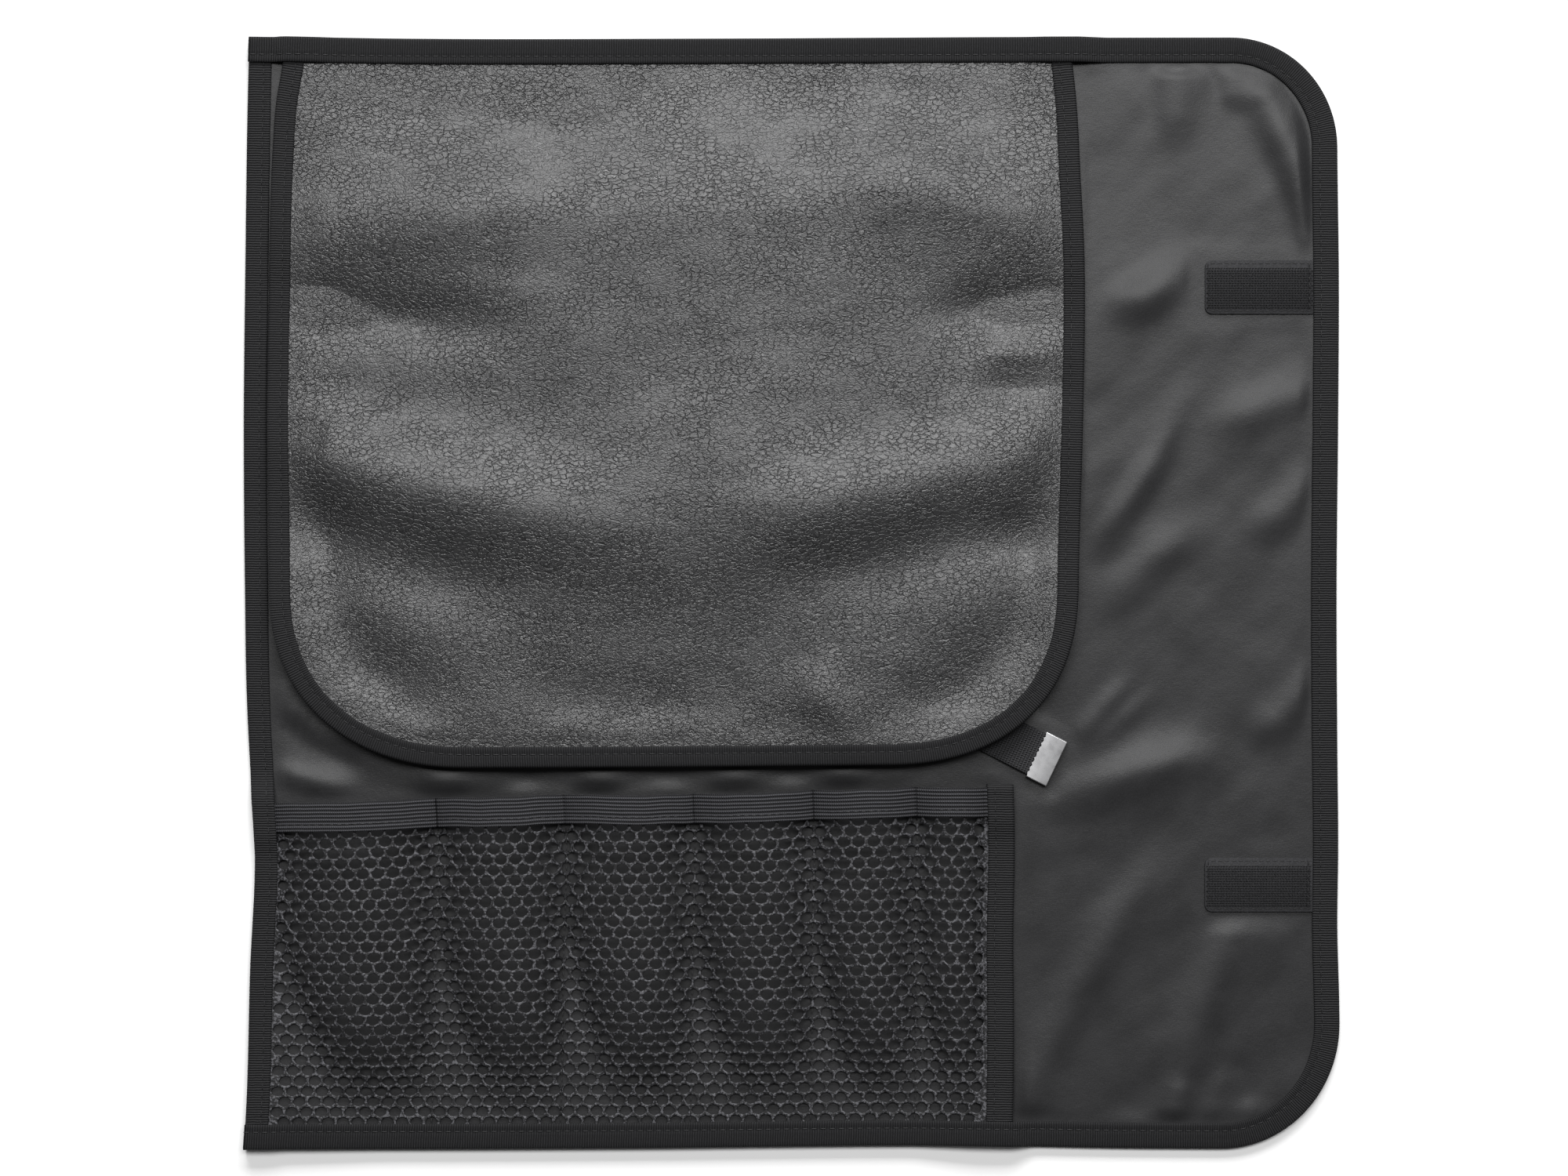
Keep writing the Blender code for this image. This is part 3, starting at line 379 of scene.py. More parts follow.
def flap_low(x, y):
    """Underside of the flap without its folds."""
    u = (x - FLAP_LEFT) / FLAP_WIDTH
    share = (TOP - y) / FLAP_DROP
    rise = smooth((TOP - EDGE_TAPE_WIDTH - 0.006 - y) / FLAP_RISE_RUN)
    side = 0.12 + 0.88 * smooth((share - 0.45) / 0.38)
    middle = smooth(u / 0.3) * smooth((1 - u) / 0.3)
    return panel_top(x, y) + FLAP_SEAT + FLAP_RISE * rise * (side + (1 - side) * middle)


def flap_relief(x, y):
    """Folds of the flap, which its tape follows in part, and the slack between them."""
    free = flap_edge_distance(x, y) - FLAP_TAPE_WIDTH
    below_seam = TOP - EDGE_TAPE_WIDTH - y
    u = (x - FLAP_LEFT) / FLAP_WIDTH
    v = (y - FLAP_LOW) / FLAP_DROP
    folds = 1.3 * fold_height(FLAP_FOLDS, u, v, FLAP_WIDTH, FLAP_DROP)
    small = (0.00060 * ripples(x, y, 0.036, 11.0, 2.0, 0.0)
             + 0.00014 * ripples(x, y, 0.012, 5.0, 1.8, 0.2)
             + 0.00006 * ripples(x, y, 0.004, 2.0, 1.5, 0.0))
    relief = (folds * (0.35 + 0.65 * smooth((free + 0.003) / 0.022))
              * smooth((below_seam - 0.001) / 0.020)
              + small * smooth((np.minimum(free, below_seam) - 0.0005) / 0.006))
    room = flap_low(x, y) - panel_top(x, y) - FLAP_SEAT
    return np.maximum(relief, -0.85 * room)


def net_low(x, y):
    """Underside of the net: down at dividers and pleats, standing off between."""
    foot = BOTTOM + EDGE_TAPE_WIDTH + NET_MARGIN / 2
    rim = mouth_y(x) - ELASTIC_WIDTH
    v = (y - foot) / (rim - foot)
    bulge = np.zeros_like(x)
    start = POCKET_LEFT
    for width, height, pleat, _ in POCKETS:
        share = (x - start) / width
        flat = pleat * np.maximum(0.0, 1 - v / 0.70)
        t = np.clip((share - flat) / (1 - flat), 0.0, 1.0)
        lift = height * np.sin(math.pi * t)**0.8 * smooth(v / 0.42)
        bulge = np.where((share >= 0) & (share <= 1), lift, bulge)
        start += width
    last = POCKETS[-1][0]
    seat = SIDE_SEAT * smooth((x - POCKET_RIGHT + last) / (last * 0.9))
    return panel_top(x, y) + GAP + seat + bulge


# Finishes.

class Finish:
    """A material under construction, with short calls to add its nodes."""

    def __init__(self, name, colour, roughness, **sockets):
        self.material = bpy.data.materials.new(name)
        self.material.use_nodes = True
        self.tree = self.material.node_tree
        self.shader = self.tree.nodes["Principled BSDF"]
        self.set(self.shader, "Base Color", (*colour, 1.0))
        self.set(self.shader, "Roughness", roughness)
        for socket, value in sockets.items():
            self.set(self.shader, socket.replace("_", " "), value)

    def set(self, node, socket, value):
        target = node.inputs[socket]
        if isinstance(value, bpy.types.NodeSocket):
            self.tree.links.new(value, target)
        else:
            target.default_value = value

    def add(self, kind, inputs=(), **settings):
        node = self.tree.nodes.new(kind)
        for setting, value in settings.items():
            setattr(node, setting, value)
        for socket, value in dict(inputs).items():
            self.set(node, socket, value)
        return node

    def maths(self, operation, a, b=0.0, c=0.0):
        node = self.add("ShaderNodeMath", {0: a, 1: b}, operation=operation)
        if operation in ("MULTIPLY_ADD", "SMOOTH_MIN", "COMPARE"):
            self.set(node, 2, c)
        return node.outputs[0]

    def ranged(self, value, low, high, to_low=0.0, to_high=1.0):
        node = self.add("ShaderNodeMapRange", {"Value": value, "From Min": low, "From Max": high,
                                               "To Min": to_low, "To Max": to_high},
                        interpolation_type="SMOOTHSTEP")
        return node.outputs["Result"]

    def place(self, scale=(1, 1, 1), turn=0.0):
        """Object coordinates in metres, turned about Z and scaled."""
        where = self.add("ShaderNodeTexCoord").outputs["Object"]
        node = self.add("ShaderNodeMapping", {"Vector": where, "Rotation": (0, 0, turn),
                                              "Scale": scale})
        return node.outputs["Vector"]

    def strip(self):
        """Distances along and across a strip, in metres, from its UV map."""
        where = self.add("ShaderNodeUVMap", uv_map="strip").outputs["UV"]
        parts = self.add("ShaderNodeSeparateXYZ", {"Vector": where})
        return parts.outputs["X"], parts.outputs["Y"]

    def wave(self, distance, pitch, shift=0.0):
        """Sine of a distance, from 0 to 1."""
        turns = self.maths("MULTIPLY_ADD", distance, 2 * math.pi / pitch, shift)
        return self.maths("MULTIPLY_ADD", self.maths("SINE", turns), 0.5, 0.5)

    def grain(self, where, scale, detail=3.0, roughness=0.55):
        node = self.add("ShaderNodeTexNoise", {"Vector": where, "Scale": scale, "Detail": detail,
                                               "Roughness": roughness})
        return node.outputs["Fac"]

    def cells(self, where, scale, feature="DISTANCE_TO_EDGE"):
        node = self.add("ShaderNodeTexVoronoi", {"Vector": where, "Scale": scale},
                        feature=feature)
        return node.outputs["Distance"]

    def warped(self, where, scale, reach):
        """Coordinates pushed about by noise, by up to half the reach."""
        noise_node = self.add("ShaderNodeTexNoise", {"Vector": where, "Scale": scale,
                                                     "Detail": 2.0})
        pushed = self.add("ShaderNodeVectorMath", operation="MULTIPLY_ADD")
        self.set(pushed, 0, noise_node.outputs["Color"])
        self.set(pushed, 1, (reach, reach, 0.0))
        self.set(pushed, 2, where)
        return pushed.outputs[0]

    def scaled(self, where, factors):
        return self.add("ShaderNodeMapping", {"Vector": where, "Scale": factors}).outputs[0]

    def blend(self, factor, dark, light):
        node = self.add("ShaderNodeMix", data_type="RGBA")
        self.set(node, 0, factor)
        self.set(node, 6, (*dark, 1.0))
        self.set(node, 7, (*light, 1.0))
        self.set(self.shader, "Base Color", node.outputs[2])
        return node

    def bump(self, *layers):
        """Stacks (height, distance in metres) pairs into the normal."""
        below = None
        for height, distance in layers:
            node = self.add("ShaderNodeBump", {"Height": height, "Distance": distance,
                                               "Strength": 1.0})
            if below:
                self.set(node, "Normal", below.outputs[0])
            below = node
        self.set(self.shader, "Normal", below.outputs[0])


def lighter(colour, factor):
    return tuple(min(1.0, part * factor) for part in colour)


def nylon_finish(colours):
    look = Finish("woven_nylon", colours.nylon, 0.38, Sheen_Weight=0.05,
                  Sheen_Roughness=0.4, Specular_IOR_Level=0.30)
    where = look.place()
    mottle = look.grain(where, 55, 3)
    threads = look.grain(look.place((1.0, 0.35, 1.0)), 2600, 2)
    factor = look.maths("MULTIPLY_ADD", threads, 0.45, look.maths("MULTIPLY", mottle, 0.55))
    look.blend(look.ranged(factor, 0.30, 0.72), lighter(colours.nylon, 0.78),
               lighter(colours.nylon, 1.25))
    across = look.grain(look.place((1.0, 0.25, 1.0)), 3000, 1)
    upright = look.grain(look.place((0.25, 1.0, 1.0)), 3000, 1)
    look.bump((look.grain(where, 260, 3), 0.00006), (across, 0.00003), (upright, 0.00003))
    return look.material


def vinyl_finish(colours):
    """Embossed leather grain: fine pebbles between short creases, with painted shade darkening the
    creases.
    """
    look = Finish("grained_vinyl", colours.vinyl, 0.30, Specular_IOR_Level=0.60)
    where = look.place()
    worm = look.warped(where, 520, 0.0026)
    pebble = look.ranged(look.cells(worm, 1000), 0.0, 0.35)
    crease = look.ranged(look.cells(look.scaled(worm, (0.50, 1.05, 1.0)), 560), 0.0, 0.13)
    patch = look.ranged(look.grain(look.place((0.7, 1.2, 1.0)), 60, 3), 0.30, 0.62, 0.35, 1.0)
    crease_relief_and_shade = look.maths("MULTIPLY", look.maths("SUBTRACT", 1.0, crease), patch)
    dust = look.grain(where, 1900, 3, 0.65)
    level = look.maths("SUBTRACT", 1.0, crease_relief_and_shade)
    # painted shade: the colour falls to half the vinyl's in the creases, where the bump also sinks
    # them
    look.blend(look.maths("MULTIPLY", level, look.ranged(dust, 0.3, 0.7, 0.7, 1.0)),
               lighter(colours.vinyl, 0.5), colours.vinyl)
    look.bump((level, 0.00016), (pebble, 0.000045), (dust, 0.00003))
    return look.material


def tape_finish(colours):
    """Grosgrain: ribs across the tape, in a fine thread, with painted highlights on the crests of the
    ribs and painted shade in the hollows between them.
    """
    look = Finish("ribbed_tape", colours.tape, 0.7, Specular_IOR_Level=0.2)
    length, width = look.strip()
    drift = look.grain(look.place(), 300, 2)
    rib_relief_and_shade = look.wave(look.maths("MULTIPLY_ADD", drift, 0.0005, length), 0.00107)
    thread = look.wave(width, 0.0004)
    # painted highlight and shade: the wave that raises the ribs in the bump colours each crest
    # lighter and each hollow darker
    look.blend(rib_relief_and_shade, lighter(colours.tape, 0.42), lighter(colours.tape, 1.45))
    look.bump((look.grain(look.place(), 700, 2), 0.00008), (rib_relief_and_shade, 0.00022),
              (look.maths("MULTIPLY", thread, rib_relief_and_shade), 0.00004))
    return look.material


def elastic_finish(colours):
    """Knitted elastic: cords along the band, crossed by a zigzag of thread, with painted highlights
    on the cords and painted shade in the grooves between them.
    """
    look = Finish("elastic", colours.elastic, 0.75, Specular_IOR_Level=0.2)
    length, width = look.strip()
    cord = look.wave(width, ELASTIC_WIDTH / 8)
    slant = look.wave(look.maths("ADD", length, look.maths("MULTIPLY", cord, 0.0004)), 0.00095)
    # painted highlight and shade: the bump's cord and zigzag waves colour the tops of the cords
    # lighter and the grooves darker
    light = look.maths("MULTIPLY", cord, look.ranged(slant, 0.1, 0.9, 0.45, 1.0))
    look.blend(light, lighter(colours.elastic, 0.3), lighter(colours.elastic, 2.4))
    look.bump((cord, 0.0004), (slant, 0.00015))
    return look.material


def net_finish(colours):
    """Twisted yarn: dark, with painted highlights: small bright spots of glint where the strands turn
    over.
    """
    look = Finish("net_yarn", colours.net, 0.55, Specular_IOR_Level=0.3)
    where = look.place()
    glint_specks = look.grain(where, 900, 2, 0.6)
    # painted highlight: the noise colours the yarn up to four and a half times lighter in small
    # glinting spots
    look.blend(look.ranged(glint_specks, 0.46, 0.66), lighter(colours.net, 0.5),
               lighter(colours.net, 4.5))
    look.bump((glint_specks, 0.0003))
    return look.material


def plain_finish(name, colour, roughness, scale=1800, depth=0.00012, metallic=0.0):
    look = Finish(name, colour, roughness, Metallic=metallic)
    fleck = look.grain(look.place(), scale, 2)
    look.blend(look.ranged(fleck, 0.3, 0.7), lighter(colour, 0.7), lighter(colour, 1.3))
    look.bump((fleck, depth))
    return look.material


def hook_finish(colours):
    """Flat selvedge and backing, with hooks standing on it that are painted darker the higher they
    stand, as painted shade for the shaded hook field.
    """
    look = Finish("hook_tape", colours.hooks, 0.75, Specular_IOR_Level=0.2)
    where = look.place()
    height = look.add("ShaderNodeSeparateXYZ", {"Vector": where}).outputs["Z"]
    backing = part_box("hook_patch_upper")[0][2] + HOOK_BACKING
    # painted shade: the colour darkens with height above the backing, so the hook field reads darker
    # than the selvedge
    hook_height_shade = look.ranged(height, backing + 0.00015, backing + 0.0008)
    fleck = look.grain(where, 1500, 2)
    tone = look.maths("MULTIPLY", look.ranged(fleck, 0.3, 0.7, 0.6, 1.0),
                      look.maths("SUBTRACT", 1.0, look.maths("MULTIPLY", hook_height_shade, 0.75)))
    look.blend(tone, lighter(colours.hooks, 0.10), lighter(colours.hooks, 2.4))
    look.bump((fleck, 0.00008))
    return look.material


def webbing_finish(colours):
    """Rows of slanted picks, two threads wide, with painted highlights on the raised threads and
    painted shade in the dips between them.
    """
    look = Finish("webbing", colours.webbing, 0.7, Specular_IOR_Level=0.35)
    length, width = look.strip()
    cord = look.wave(width, 0.0011)
    pick = look.wave(look.maths("MULTIPLY_ADD", cord, 0.0006, length), 0.0013)
    # painted highlight and shade: the bump's cord and pick waves colour the raised threads lighter
    # and the dips darker
    light = look.maths("MULTIPLY", look.ranged(cord, 0.0, 1.0, 0.35, 1.0), pick)
    look.blend(light, lighter(colours.webbing, 0.4), lighter(colours.webbing, 2.3))
    look.bump((cord, 0.0003), (pick, 0.0003))
    return look.material


def metal_finish(colours):
    look = Finish("bright_metal", colours.metal, 0.40, Metallic=1.0)
    where = look.place((1.0, 1.0, 1.0), 0.46)
    smear = look.grain(where, 220, 3)
    look.set(look.shader, "Roughness", look.ranged(smear, 0.3, 0.7, 0.36, 0.44))
    return look.material


# Making pieces.

def add_piece(name, bm, material, node, recalculate=False):
    """A finished mesh as an object that rides with the roll."""
    if recalculate:
        bmesh.ops.recalc_face_normals(bm, faces=bm.faces[:])
    mesh = bpy.data.meshes.new(name)
    bm.to_mesh(mesh)
    bm.free()
    mesh.shade_smooth()
    mesh.materials.append(material)
    piece = bpy.data.objects.new(name, mesh)
    bpy.context.scene.collection.objects.link(piece)
    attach(piece, "root")
    if node:
        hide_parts(node)
    return piece


def grid_of(columns, rows):
    """Unit grid as a bmesh, with the column and row of each of its vertices."""
    bm = bmesh.new()
    bmesh.ops.create_grid(bm, x_segments=columns - 1, y_segments=rows - 1, size=0.5)
    places = [(v, round((v.co.x + 0.5) * (columns - 1)), round((v.co.y + 0.5) * (rows - 1)))
              for v in bm.verts]
    return bm, places


def move_all(verts, xs, ys, zs):
    """Puts vertices at pattern places, through laid()."""
    xs, ys = laid(np.asarray(xs), np.asarray(ys))
    for vert, x, y, z in zip(verts, xs, ys, zs):
        vert.co = (x, y, z)


def thicken(piece, thick):
    """Adds the wall upwards from the surface drawn."""
    wall = piece.modifiers.new("Thickness", "SOLIDIFY")
    wall.thickness = thick
    wall.offset = 1.0
    return wall


def resampled(path, step):
    """Rows of (x, y, level) spaced evenly along a path."""
    path = np.asarray(path, dtype=float)
    run = np.concatenate([[0.0], np.cumsum(np.hypot(*np.diff(path[:, :2], axis=0).T))])
    stops = np.linspace(0, run[-1], max(2, round(run[-1] / step)))
    return np.stack([np.interp(stops, run, path[:, k]) for k in range(path.shape[1])], 1), stops


def folded_tape(name, path, side, width, floor, roof, material, node):
    """Tape folded over an edge: a path of (x, y, level), with the tape to the
    left of it for side 1. floor and roof give its two outer faces."""
    stations, run = resampled(path, 0.0028)
    nx, ny = inward_normals(stations[:, 0], stations[:, 1], side)
    r, t = 0.0014, TAPE_THICK
    seam = width - SEAM_IN
    section = [(width, 0, 0.0), (width * 0.5, 0, 0.0)]
    for k in range(5):
        a = math.pi / 2 * k / 4
        section.append((r * (1 - math.sin(a)), 0, r * (1 - math.cos(a))))
    for k in range(5):
        a = math.pi / 2 * k / 4
        section.append((r * (1 - math.cos(a)), 1, -r * (1 - math.sin(a))))
    section += [(r + (seam - r) * 0.3, 1, 0.00002), (r + (seam - r) * 0.7, 1, 0.00004),
                (seam - 0.0006, 1, 0.0), (seam, 1, -0.00016), (seam + 0.0006, 1, 0.0),
                (width - 0.0012, 1, 0.00004), (width - 0.0002, 1, -0.00005),
                (width, 1, -0.00030), (width, 1, -t), (t, 1, -t), (t, 0, t), (width, 0, t)]
    reach = [0.0]
    for a, b in zip(section, section[1:] + section[:1]):
        reach.append(reach[-1] + max(math.hypot(b[0] - a[0], b[2] - a[2]), 0.0001))
    bm, places = grid_of(len(stations), len(section) + 1)
    spot = {v: (i, j) for v, i, j in places}
    strip = bm.loops.layers.uv.new("strip")
    for face in bm.faces:
        for loop in face.loops:
            i, j = spot[loop.vert]
            loop[strip].uv = (run[i], reach[j])
    verts = [v for v, _, _ in places]
    i = np.array([i for _, i, _ in places])
    j = np.array([j for _, _, j in places]) % len(section)
    inward = np.array([row[0] for row in section])[j]
    upper = np.array([row[1] for row in section])[j]
    rise = np.array([row[2] for row in section])[j]
    # the free edge wavers a little, and the tape puckers between its stitches
    waver = 0.00012 * ripples(run[i], upper * 0.1, 0.007, 4.0)
    inward = np.where(inward > width - 0.002, inward + waver, inward)
    pucker = 0.00006 * np.sin(run[i] * 2 * math.pi / 0.004) * np.exp(-((inward - seam) / 0.001)**2)
    pucker += 0.00010 * ripples(run[i], inward, 0.009, 9.0)
    outer = (rise > -t * 0.9) & (upper == 1) & (inward > r)
    xs = stations[i, 0] + nx[i] * inward
    ys = stations[i, 1] + ny[i] * inward
    zs = np.where(upper == 1, roof(xs, ys, stations[i, 2]), floor(xs, ys)) + rise
    zs = zs + np.where(outer, pucker, 0.0)
    move_all(verts, xs, ys, zs)
    bmesh.ops.remove_doubles(bm, verts=bm.verts[:], dist=1e-7)
    bmesh.ops.holes_fill(bm, edges=[e for e in bm.edges if e.is_boundary], sides=0)
    return add_piece(name, bm, material, node, recalculate=True)


def stitch_mesh(length, radius):
    """One stitch: a short round-ended bar along X."""
    bm = bmesh.new()
    bmesh.ops.create_uvsphere(bm, u_segments=6, v_segments=4, radius=1.0)
    bmesh.ops.rotate(bm, verts=bm.verts[:], matrix=Matrix.Rotation(math.pi / 2, 3, "Y"))
    bmesh.ops.scale(bm, verts=bm.verts[:], vec=(length / 2, radius, radius * 0.8))
    mesh = bpy.data.meshes.new("stitch")
    bm.to_mesh(mesh)
    bm.free()
    return mesh


def copies(bm, template, matrices):
    """Adds a copy of a mesh for each matrix."""
    for matrix in matrices:
        copy = template.copy()
        copy.transform(matrix)
        bm.from_mesh(copy)
        bpy.data.meshes.remove(copy)


def seam_matrices(xs, ys, zs, pitch):
    """Places of stitches along a laid line, each turned along it."""
    xs, ys = laid(np.asarray(xs), np.asarray(ys))
    run = np.concatenate([[0.0], np.cumsum(np.hypot(np.diff(xs), np.diff(ys)))])
    stops = np.arange(pitch / 2, run[-1], pitch)
    x, y, z = (np.interp(stops, run, values) for values in (xs, ys, zs))
    ahead = (np.interp(stops + pitch / 4, run, values) for values in (xs, ys, zs))
    back = (np.interp(stops - pitch / 4, run, values) for values in (xs, ys, zs))
    steps = np.stack([a - b for a, b in zip(ahead, back)], 1)
    result = []
    for px, py, pz, step in zip(x, y, z, steps):
        turn = Vector(step).to_track_quat("X", "Z").to_matrix().to_4x4()
        result.append(Matrix.Translation((px, py, pz)) @ turn)
    return result


def edge_path():
    """Outer edge from the top left, clockwise, with the level of its upper side."""
    over = NET_LEVEL + GAP + TAPE_THICK
    side = SIDE_SEAT + NET_LEVEL + GAP + TAPE_THICK
    top = [(LEFT, TAPE_LEVEL), (LEFT + LEFT_TAPE_WIDTH + 0.001, TAPE_LEVEL),
           (FLAP_LEFT + 0.004, FLAP_TAPE_LEVEL),
           (FLAP_LEFT + FLAP_TAPE_WIDTH + 0.008, FLAP_TAPE_LEVEL),
           (FLAP_LEFT + FLAP_TAPE_WIDTH + 0.018, FLAP_LEVEL),
           (FLAP_RIGHT - FLAP_TAPE_WIDTH - 0.018, FLAP_LEVEL),
           (FLAP_RIGHT - FLAP_TAPE_WIDTH - 0.008, FLAP_TAPE_LEVEL),
           (FLAP_RIGHT - 0.002, FLAP_TAPE_LEVEL), (FLAP_RIGHT + 0.010, 0.0)]
    low = [(LEFT, over), (LEFT + LEFT_TAPE_WIDTH + 0.001, over),
           (LEFT + LEFT_TAPE_WIDTH + 0.008, NET_LEVEL),
           (POCKET_RIGHT - POCKETS[-1][0], NET_LEVEL), (POCKET_RIGHT - 0.003, side),
           (SIDE_TAPE_X + 0.001, side), (SIDE_TAPE_X + 0.009, 0.0)]
    path = [(x, TOP, levels(top, x)) for x in np.linspace(LEFT, RIGHT - TOP_CORNER[0], 200)]
    turn = np.linspace(0, math.pi / 2, 40)[1:]
    path += [(RIGHT - TOP_CORNER[0] * (1 - math.sin(a)), TOP - TOP_CORNER[1] * (1 - math.cos(a)),
              0.0) for a in turn]
    path += [(RIGHT, y, 0.0)
             for y in np.linspace(TOP - TOP_CORNER[1], BOTTOM + LOW_CORNER[1], 120)[1:]]
    path += [(RIGHT - LOW_CORNER[0] * (1 - math.cos(a)),
              BOTTOM + LOW_CORNER[1] * (1 - math.sin(a)), 0.0) for a in turn]
    path += [(x, BOTTOM, levels(low, x))
             for x in np.linspace(RIGHT - LOW_CORNER[0], LEFT, 200)[1:]]
    return path


def left_path():
    inset = EDGE_INSET + GAP
    mouth = float(mouth_y(np.array([POCKET_LEFT]))[0])
    marks = [(BOTTOM + inset, NET_LEVEL), (mouth - ELASTIC_WIDTH - 0.010, NET_LEVEL),
             (mouth - ELASTIC_WIDTH - 0.002, ELASTIC_LEVEL), (mouth + 0.002, ELASTIC_LEVEL),
             (mouth + 0.012, 0.0), (TOP - inset, 0.0)]
    return [(LEFT, y, levels(marks, y)) for y in np.linspace(BOTTOM + inset, TOP - inset, 300)]


def flap_path():
    xs, ys = flap_outline(0.0)
    return [(x, min(y, TOP - EDGE_INSET - GAP), 0.0) for x, y in zip(xs, ys)]


def side_path():
    mouth = float(mouth_y(np.array([SIDE_TAPE_X]))[0])
    over_net, over_band = SIDE_SEAT + NET_LEVEL, SIDE_SEAT + ELASTIC_LEVEL
    marks = [(BOTTOM + EDGE_INSET + GAP, over_net), (mouth - ELASTIC_WIDTH - 0.010, over_net),
             (mouth - ELASTIC_WIDTH - 0.002, over_band), (mouth + SIDE_TAPE_ABOVE, over_band)]
    return [(SIDE_TAPE_X, y, levels(marks, y))
            for y in np.linspace(marks[0][0], marks[-1][0], 120)]


def cloth_roof(x, y, level):
    return panel_top(x, y) + level + TAPE_LEVEL


def flap_roof(x, y, level):
    return flap_low(x, y) + flap_relief(x, y) + FLAP_THICK + TAPE_LEVEL


def flap_floor(x, y):
    return flap_low(x, y) + flap_relief(x, y) - TAPE_LEVEL


TAPES = {
    # node: path, side, width, underside, upper side
    "edge_binding": (edge_path, -1, EDGE_TAPE_WIDTH, lambda x, y: 0.0 * x, cloth_roof),
    "left_binding": (left_path, -1, LEFT_TAPE_WIDTH,
                     lambda x, y: panel_low(x, y) - TAPE_LEVEL, cloth_roof),
    "flap_binding": (flap_path, 1, FLAP_TAPE_WIDTH,
                     flap_floor, flap_roof),
    "pocket_side_tape": (side_path, 1, SIDE_TAPE_WIDTH,
                         lambda x, y: panel_top(x, y) + GAP, cloth_roof),
}


# What a user would change.

def length(name, what, default):
    return bpy.props.FloatProperty(name=name, description=what, default=default, unit="LENGTH")


def colour(name, what, *default):
    return bpy.props.FloatVectorProperty(name=name, description=what, default=default,
                                         subtype="COLOR")


class RollSizes(bpy.types.PropertyGroup):
    """Sizes of the roll's fine detail"""
    strand: length("Net strand", "Width of the net's strands", 0.0009)
    stitch_pitch: length("Stitch pitch", "From one stitch to the next", 0.0040)
    thread: length("Thread", "Thickness of the sewing thread", 0.00045)
    hook_pitch: length("Hook pitch", "From one hook to the next on the hook tape", 0.00125)


class RollColours(bpy.types.PropertyGroup):
    """Colours of the roll's materials"""
    nylon: colour("Nylon", "The woven panel", 0.020, 0.020, 0.021)
    vinyl: colour("Vinyl", "The flap", 0.028, 0.028, 0.029)
    tape: colour("Tape", "The ribbed tape", 0.014, 0.014, 0.015)
    net: colour("Net", "The net's yarn", 0.022, 0.022, 0.024)
    elastic: colour("Elastic", "The band over the pockets", 0.030, 0.030, 0.033)
    hooks: colour("Hook tape", "The hook patches", 0.014, 0.014, 0.015)
    webbing: colour("Webbing", "The strap", 0.020, 0.020, 0.022)
    metal: colour("Metal", "The strap's metal end", 0.50, 0.50, 0.51)
    thread: colour("Thread", "The sewing thread", 0.010, 0.010, 0.011)


class KNIFEROLL_OT_panel(bpy.types.Operator):
    """Lays the woven panel with its folds"""
    bl_idname = "knife_roll.panel"
    bl_label = "Woven panel"

    def execute(self, context):
        columns = np.concatenate([np.linspace(LEFT + EDGE_INSET, OPEN_LEFT, 90),
                                  np.linspace(OPEN_LEFT, RIGHT - EDGE_INSET, 100)[1:]])
        round_low = BOTTOM + LOW_CORNER[1] - (LOW_CORNER[1] - EDGE_INSET) * np.sin(
            np.linspace(math.pi / 2, 0, 36))
        round_top = TOP - TOP_CORNER[1] + (TOP_CORNER[1] - EDGE_INSET) * np.sin(
            np.linspace(0, math.pi / 2, 34))
        rows = np.concatenate([round_low, np.linspace(round_low[-1], round_top[0], 180)[1:-1],
                               round_top])
        bm, places = grid_of(len(columns), len(rows))
        x = columns[[i for _, i, _ in places]]
        y = rows[[j for _, _, j in places]]
        squeeze = (right_edge(y, EDGE_INSET) - OPEN_LEFT) / (columns[-1] - OPEN_LEFT)
        x = np.where(x > OPEN_LEFT, OPEN_LEFT + (x - OPEN_LEFT) * squeeze, x)
        move_all([v for v, _, _ in places], x, y, panel_low(x, y) + panel_relief(x, y))
        piece = add_piece("woven_panel", bm, nylon_finish(context.scene.roll_colours),
                          "base_panel")
        thicken(piece, PANEL_THICK)
        return {"FINISHED"}


class KNIFEROLL_OT_flap(bpy.types.Operator):
    """Lays the vinyl flap with its folds"""
    bl_idname = "knife_roll.flap"
    bl_label = "Vinyl flap"

    def execute(self, context):
        xs, ys = flap_outline(EDGE_INSET)
        half = len(xs) // 2
        low = max(ys[half - 1], ys[half])
        corner_top = FLAP_LOW + FLAP_CORNER[1]
        rows = np.concatenate([
            low + (corner_top - low) * (1 - np.sin(np.linspace(math.pi / 2, 0, 50))),
            np.linspace(corner_top, TOP - EDGE_INSET, 120)[1:]])
        bm, places = grid_of(190, len(rows))
        share = np.array([i for _, i, _ in places]) / 189
        y = rows[[j for _, _, j in places]]
        left = np.interp(-y, -ys[:half], xs[:half])
        right = np.interp(-y, -ys[half:][::-1], xs[half:][::-1])
        x = left + (right - left) * share
        move_all([v for v, _, _ in places], x, y, flap_low(x, y) + flap_relief(x, y))
        piece = add_piece("vinyl_flap", bm, vinyl_finish(context.scene.roll_colours),
                          "flap")
        thicken(piece, FLAP_THICK)
        return {"FINISHED"}


class KNIFEROLL_OT_tapes(bpy.types.Operator):
    """Folds ribbed tape over the edges"""
    bl_idname = "knife_roll.tapes"
    bl_label = "Ribbed tapes"

    def execute(self, context):
        material = tape_finish(context.scene.roll_colours)
        for node, (path, side, width, floor, roof) in TAPES.items():
            name = node.replace("_binding", "_tape")
            if name == node:
                name = "side_tape"
            folded_tape(name, path(), side, width, floor, roof, material, node)
        return {"FINISHED"}


